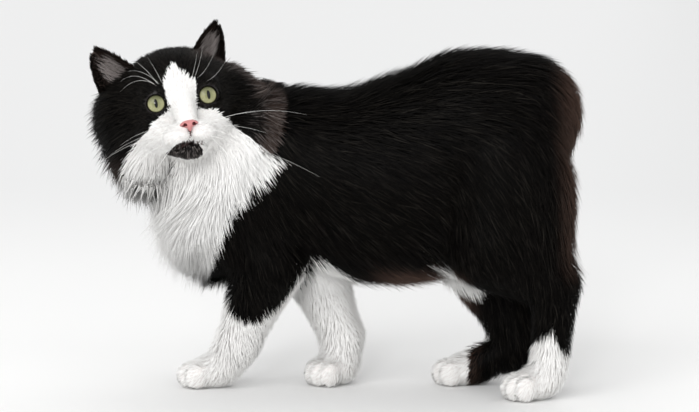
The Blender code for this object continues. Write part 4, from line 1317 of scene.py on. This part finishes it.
def whisker_material():
    """White bristle, a little glossy."""
    made, wire, shader = material_of("whisker")
    colour = wire.mix(wire.noise(300.0), tone(0.80, 0.79, 0.77), tone(0.93, 0.92, 0.90))
    plug(colour, shader, "Base Color")
    shader.inputs["Roughness"].default_value = 0.35
    return made


bristles = bmesh.new()
for start, reach, bow in WHISKERS:
    bristles.from_mesh(whisker(start, reach, bow))
bmesh.ops.remove_doubles(bristles, verts=bristles.verts[:], dist=1e-6)
bmesh.ops.recalc_face_normals(bristles, faces=bristles.faces[:])
whiskers = object_of("whiskers", bristles)
whiskers.data.shade_smooth()
place(whiskers, whisker_material(), "coat_white")


# Stage. A plain pale floor that runs back out of sight, with painted shade that darkens it towards
# the back and more at the back right, soft lamps, and the camera at the height and side from
# which the cat was photographed.

VIEW_DISTANCE = 2.4
VIEW_RISE = 7.0
VIEW_SIDE = 6.0
FRAME_WIDE = 699
METRES_PER_PIXEL = 0.00085
LOOK_AT = Vector((0.0, -0.012, 0.16)) - PLAN_CENTRE

mesh = bmesh.new()
bmesh.ops.create_grid(mesh, x_segments=2, y_segments=2, size=12.0)
floor = object_of("floor", mesh)
floor_look, wire, shader = material_of("floor")
at_floor = wire.node("ShaderNodeTexCoord", output=3)
# Painted shade: the floor darkens towards the back, and further at the back right.
far = wire.node("ShaderNodeSeparateXYZ", inputs={0: at_floor}, output=1).step(-0.3, 1.6)
aside = wire.node("ShaderNodeSeparateXYZ", inputs={0: at_floor}, output=0).step(0.0, 1.0)
paper = wire.mix(wire.noise(3.0), tone(0.88, 0.88, 0.875), tone(0.90, 0.90, 0.895))
paper = wire.mix(far, paper, tone(0.725, 0.727, 0.728))
plug(wire.mix(far * aside, paper, tone(0.61, 0.613, 0.615)), shader, "Base Color")
shader.inputs["Roughness"].default_value = 0.7
shader.inputs["Specular IOR Level"].default_value = 0.2
floor.data.materials.append(floor_look)

world = bpy.data.worlds.new("studio")
world.use_nodes = True
world.node_tree.nodes["Background"].inputs["Color"].default_value = (1.0, 1.0, 1.0, 1.0)
world.node_tree.nodes["Background"].inputs["Strength"].default_value = 0.75
bpy.context.scene.world = world


def lamp(name, come_from, strength, spread):
    """A wide soft light that falls evenly from one side, as from a large panel."""
    data = bpy.data.lights.new(name, "SUN")
    data.energy = strength
    data.angle = math.radians(spread)
    made = bpy.data.objects.new(name, data)
    made.rotation_euler = Vector(come_from).to_track_quat("Z", "Y").to_euler()
    bpy.context.scene.collection.objects.link(made)


lamp("key", (-0.45, -1.0, 0.75), 1.0, 36)
lamp("fill", (0.9, -0.9, 0.55), 0.4, 50)
lamp("top", (0.2, 0.5, 1.0), 0.45, 60)
lamp("catch", (-0.05, -0.93, 0.32), 0.85, 10)

eye_height, eye_turn = math.radians(VIEW_RISE), math.radians(VIEW_SIDE)
back_way = Vector(
    (
        math.sin(eye_turn) * math.cos(eye_height),
        -math.cos(eye_turn) * math.cos(eye_height),
        math.sin(eye_height),
    )
)
camera = bpy.data.objects.new("camera", bpy.data.cameras.new("camera"))
camera.location = LOOK_AT + back_way * VIEW_DISTANCE
camera.rotation_euler = (-back_way).to_track_quat("-Z", "Y").to_euler()
camera.data.sensor_width = 36.0
camera.data.lens = VIEW_DISTANCE / METRES_PER_PIXEL * camera.data.sensor_width / FRAME_WIDE
bpy.context.scene.collection.objects.link(camera)
bpy.context.scene.camera = camera
bpy.context.scene.view_settings.view_transform = "Standard"
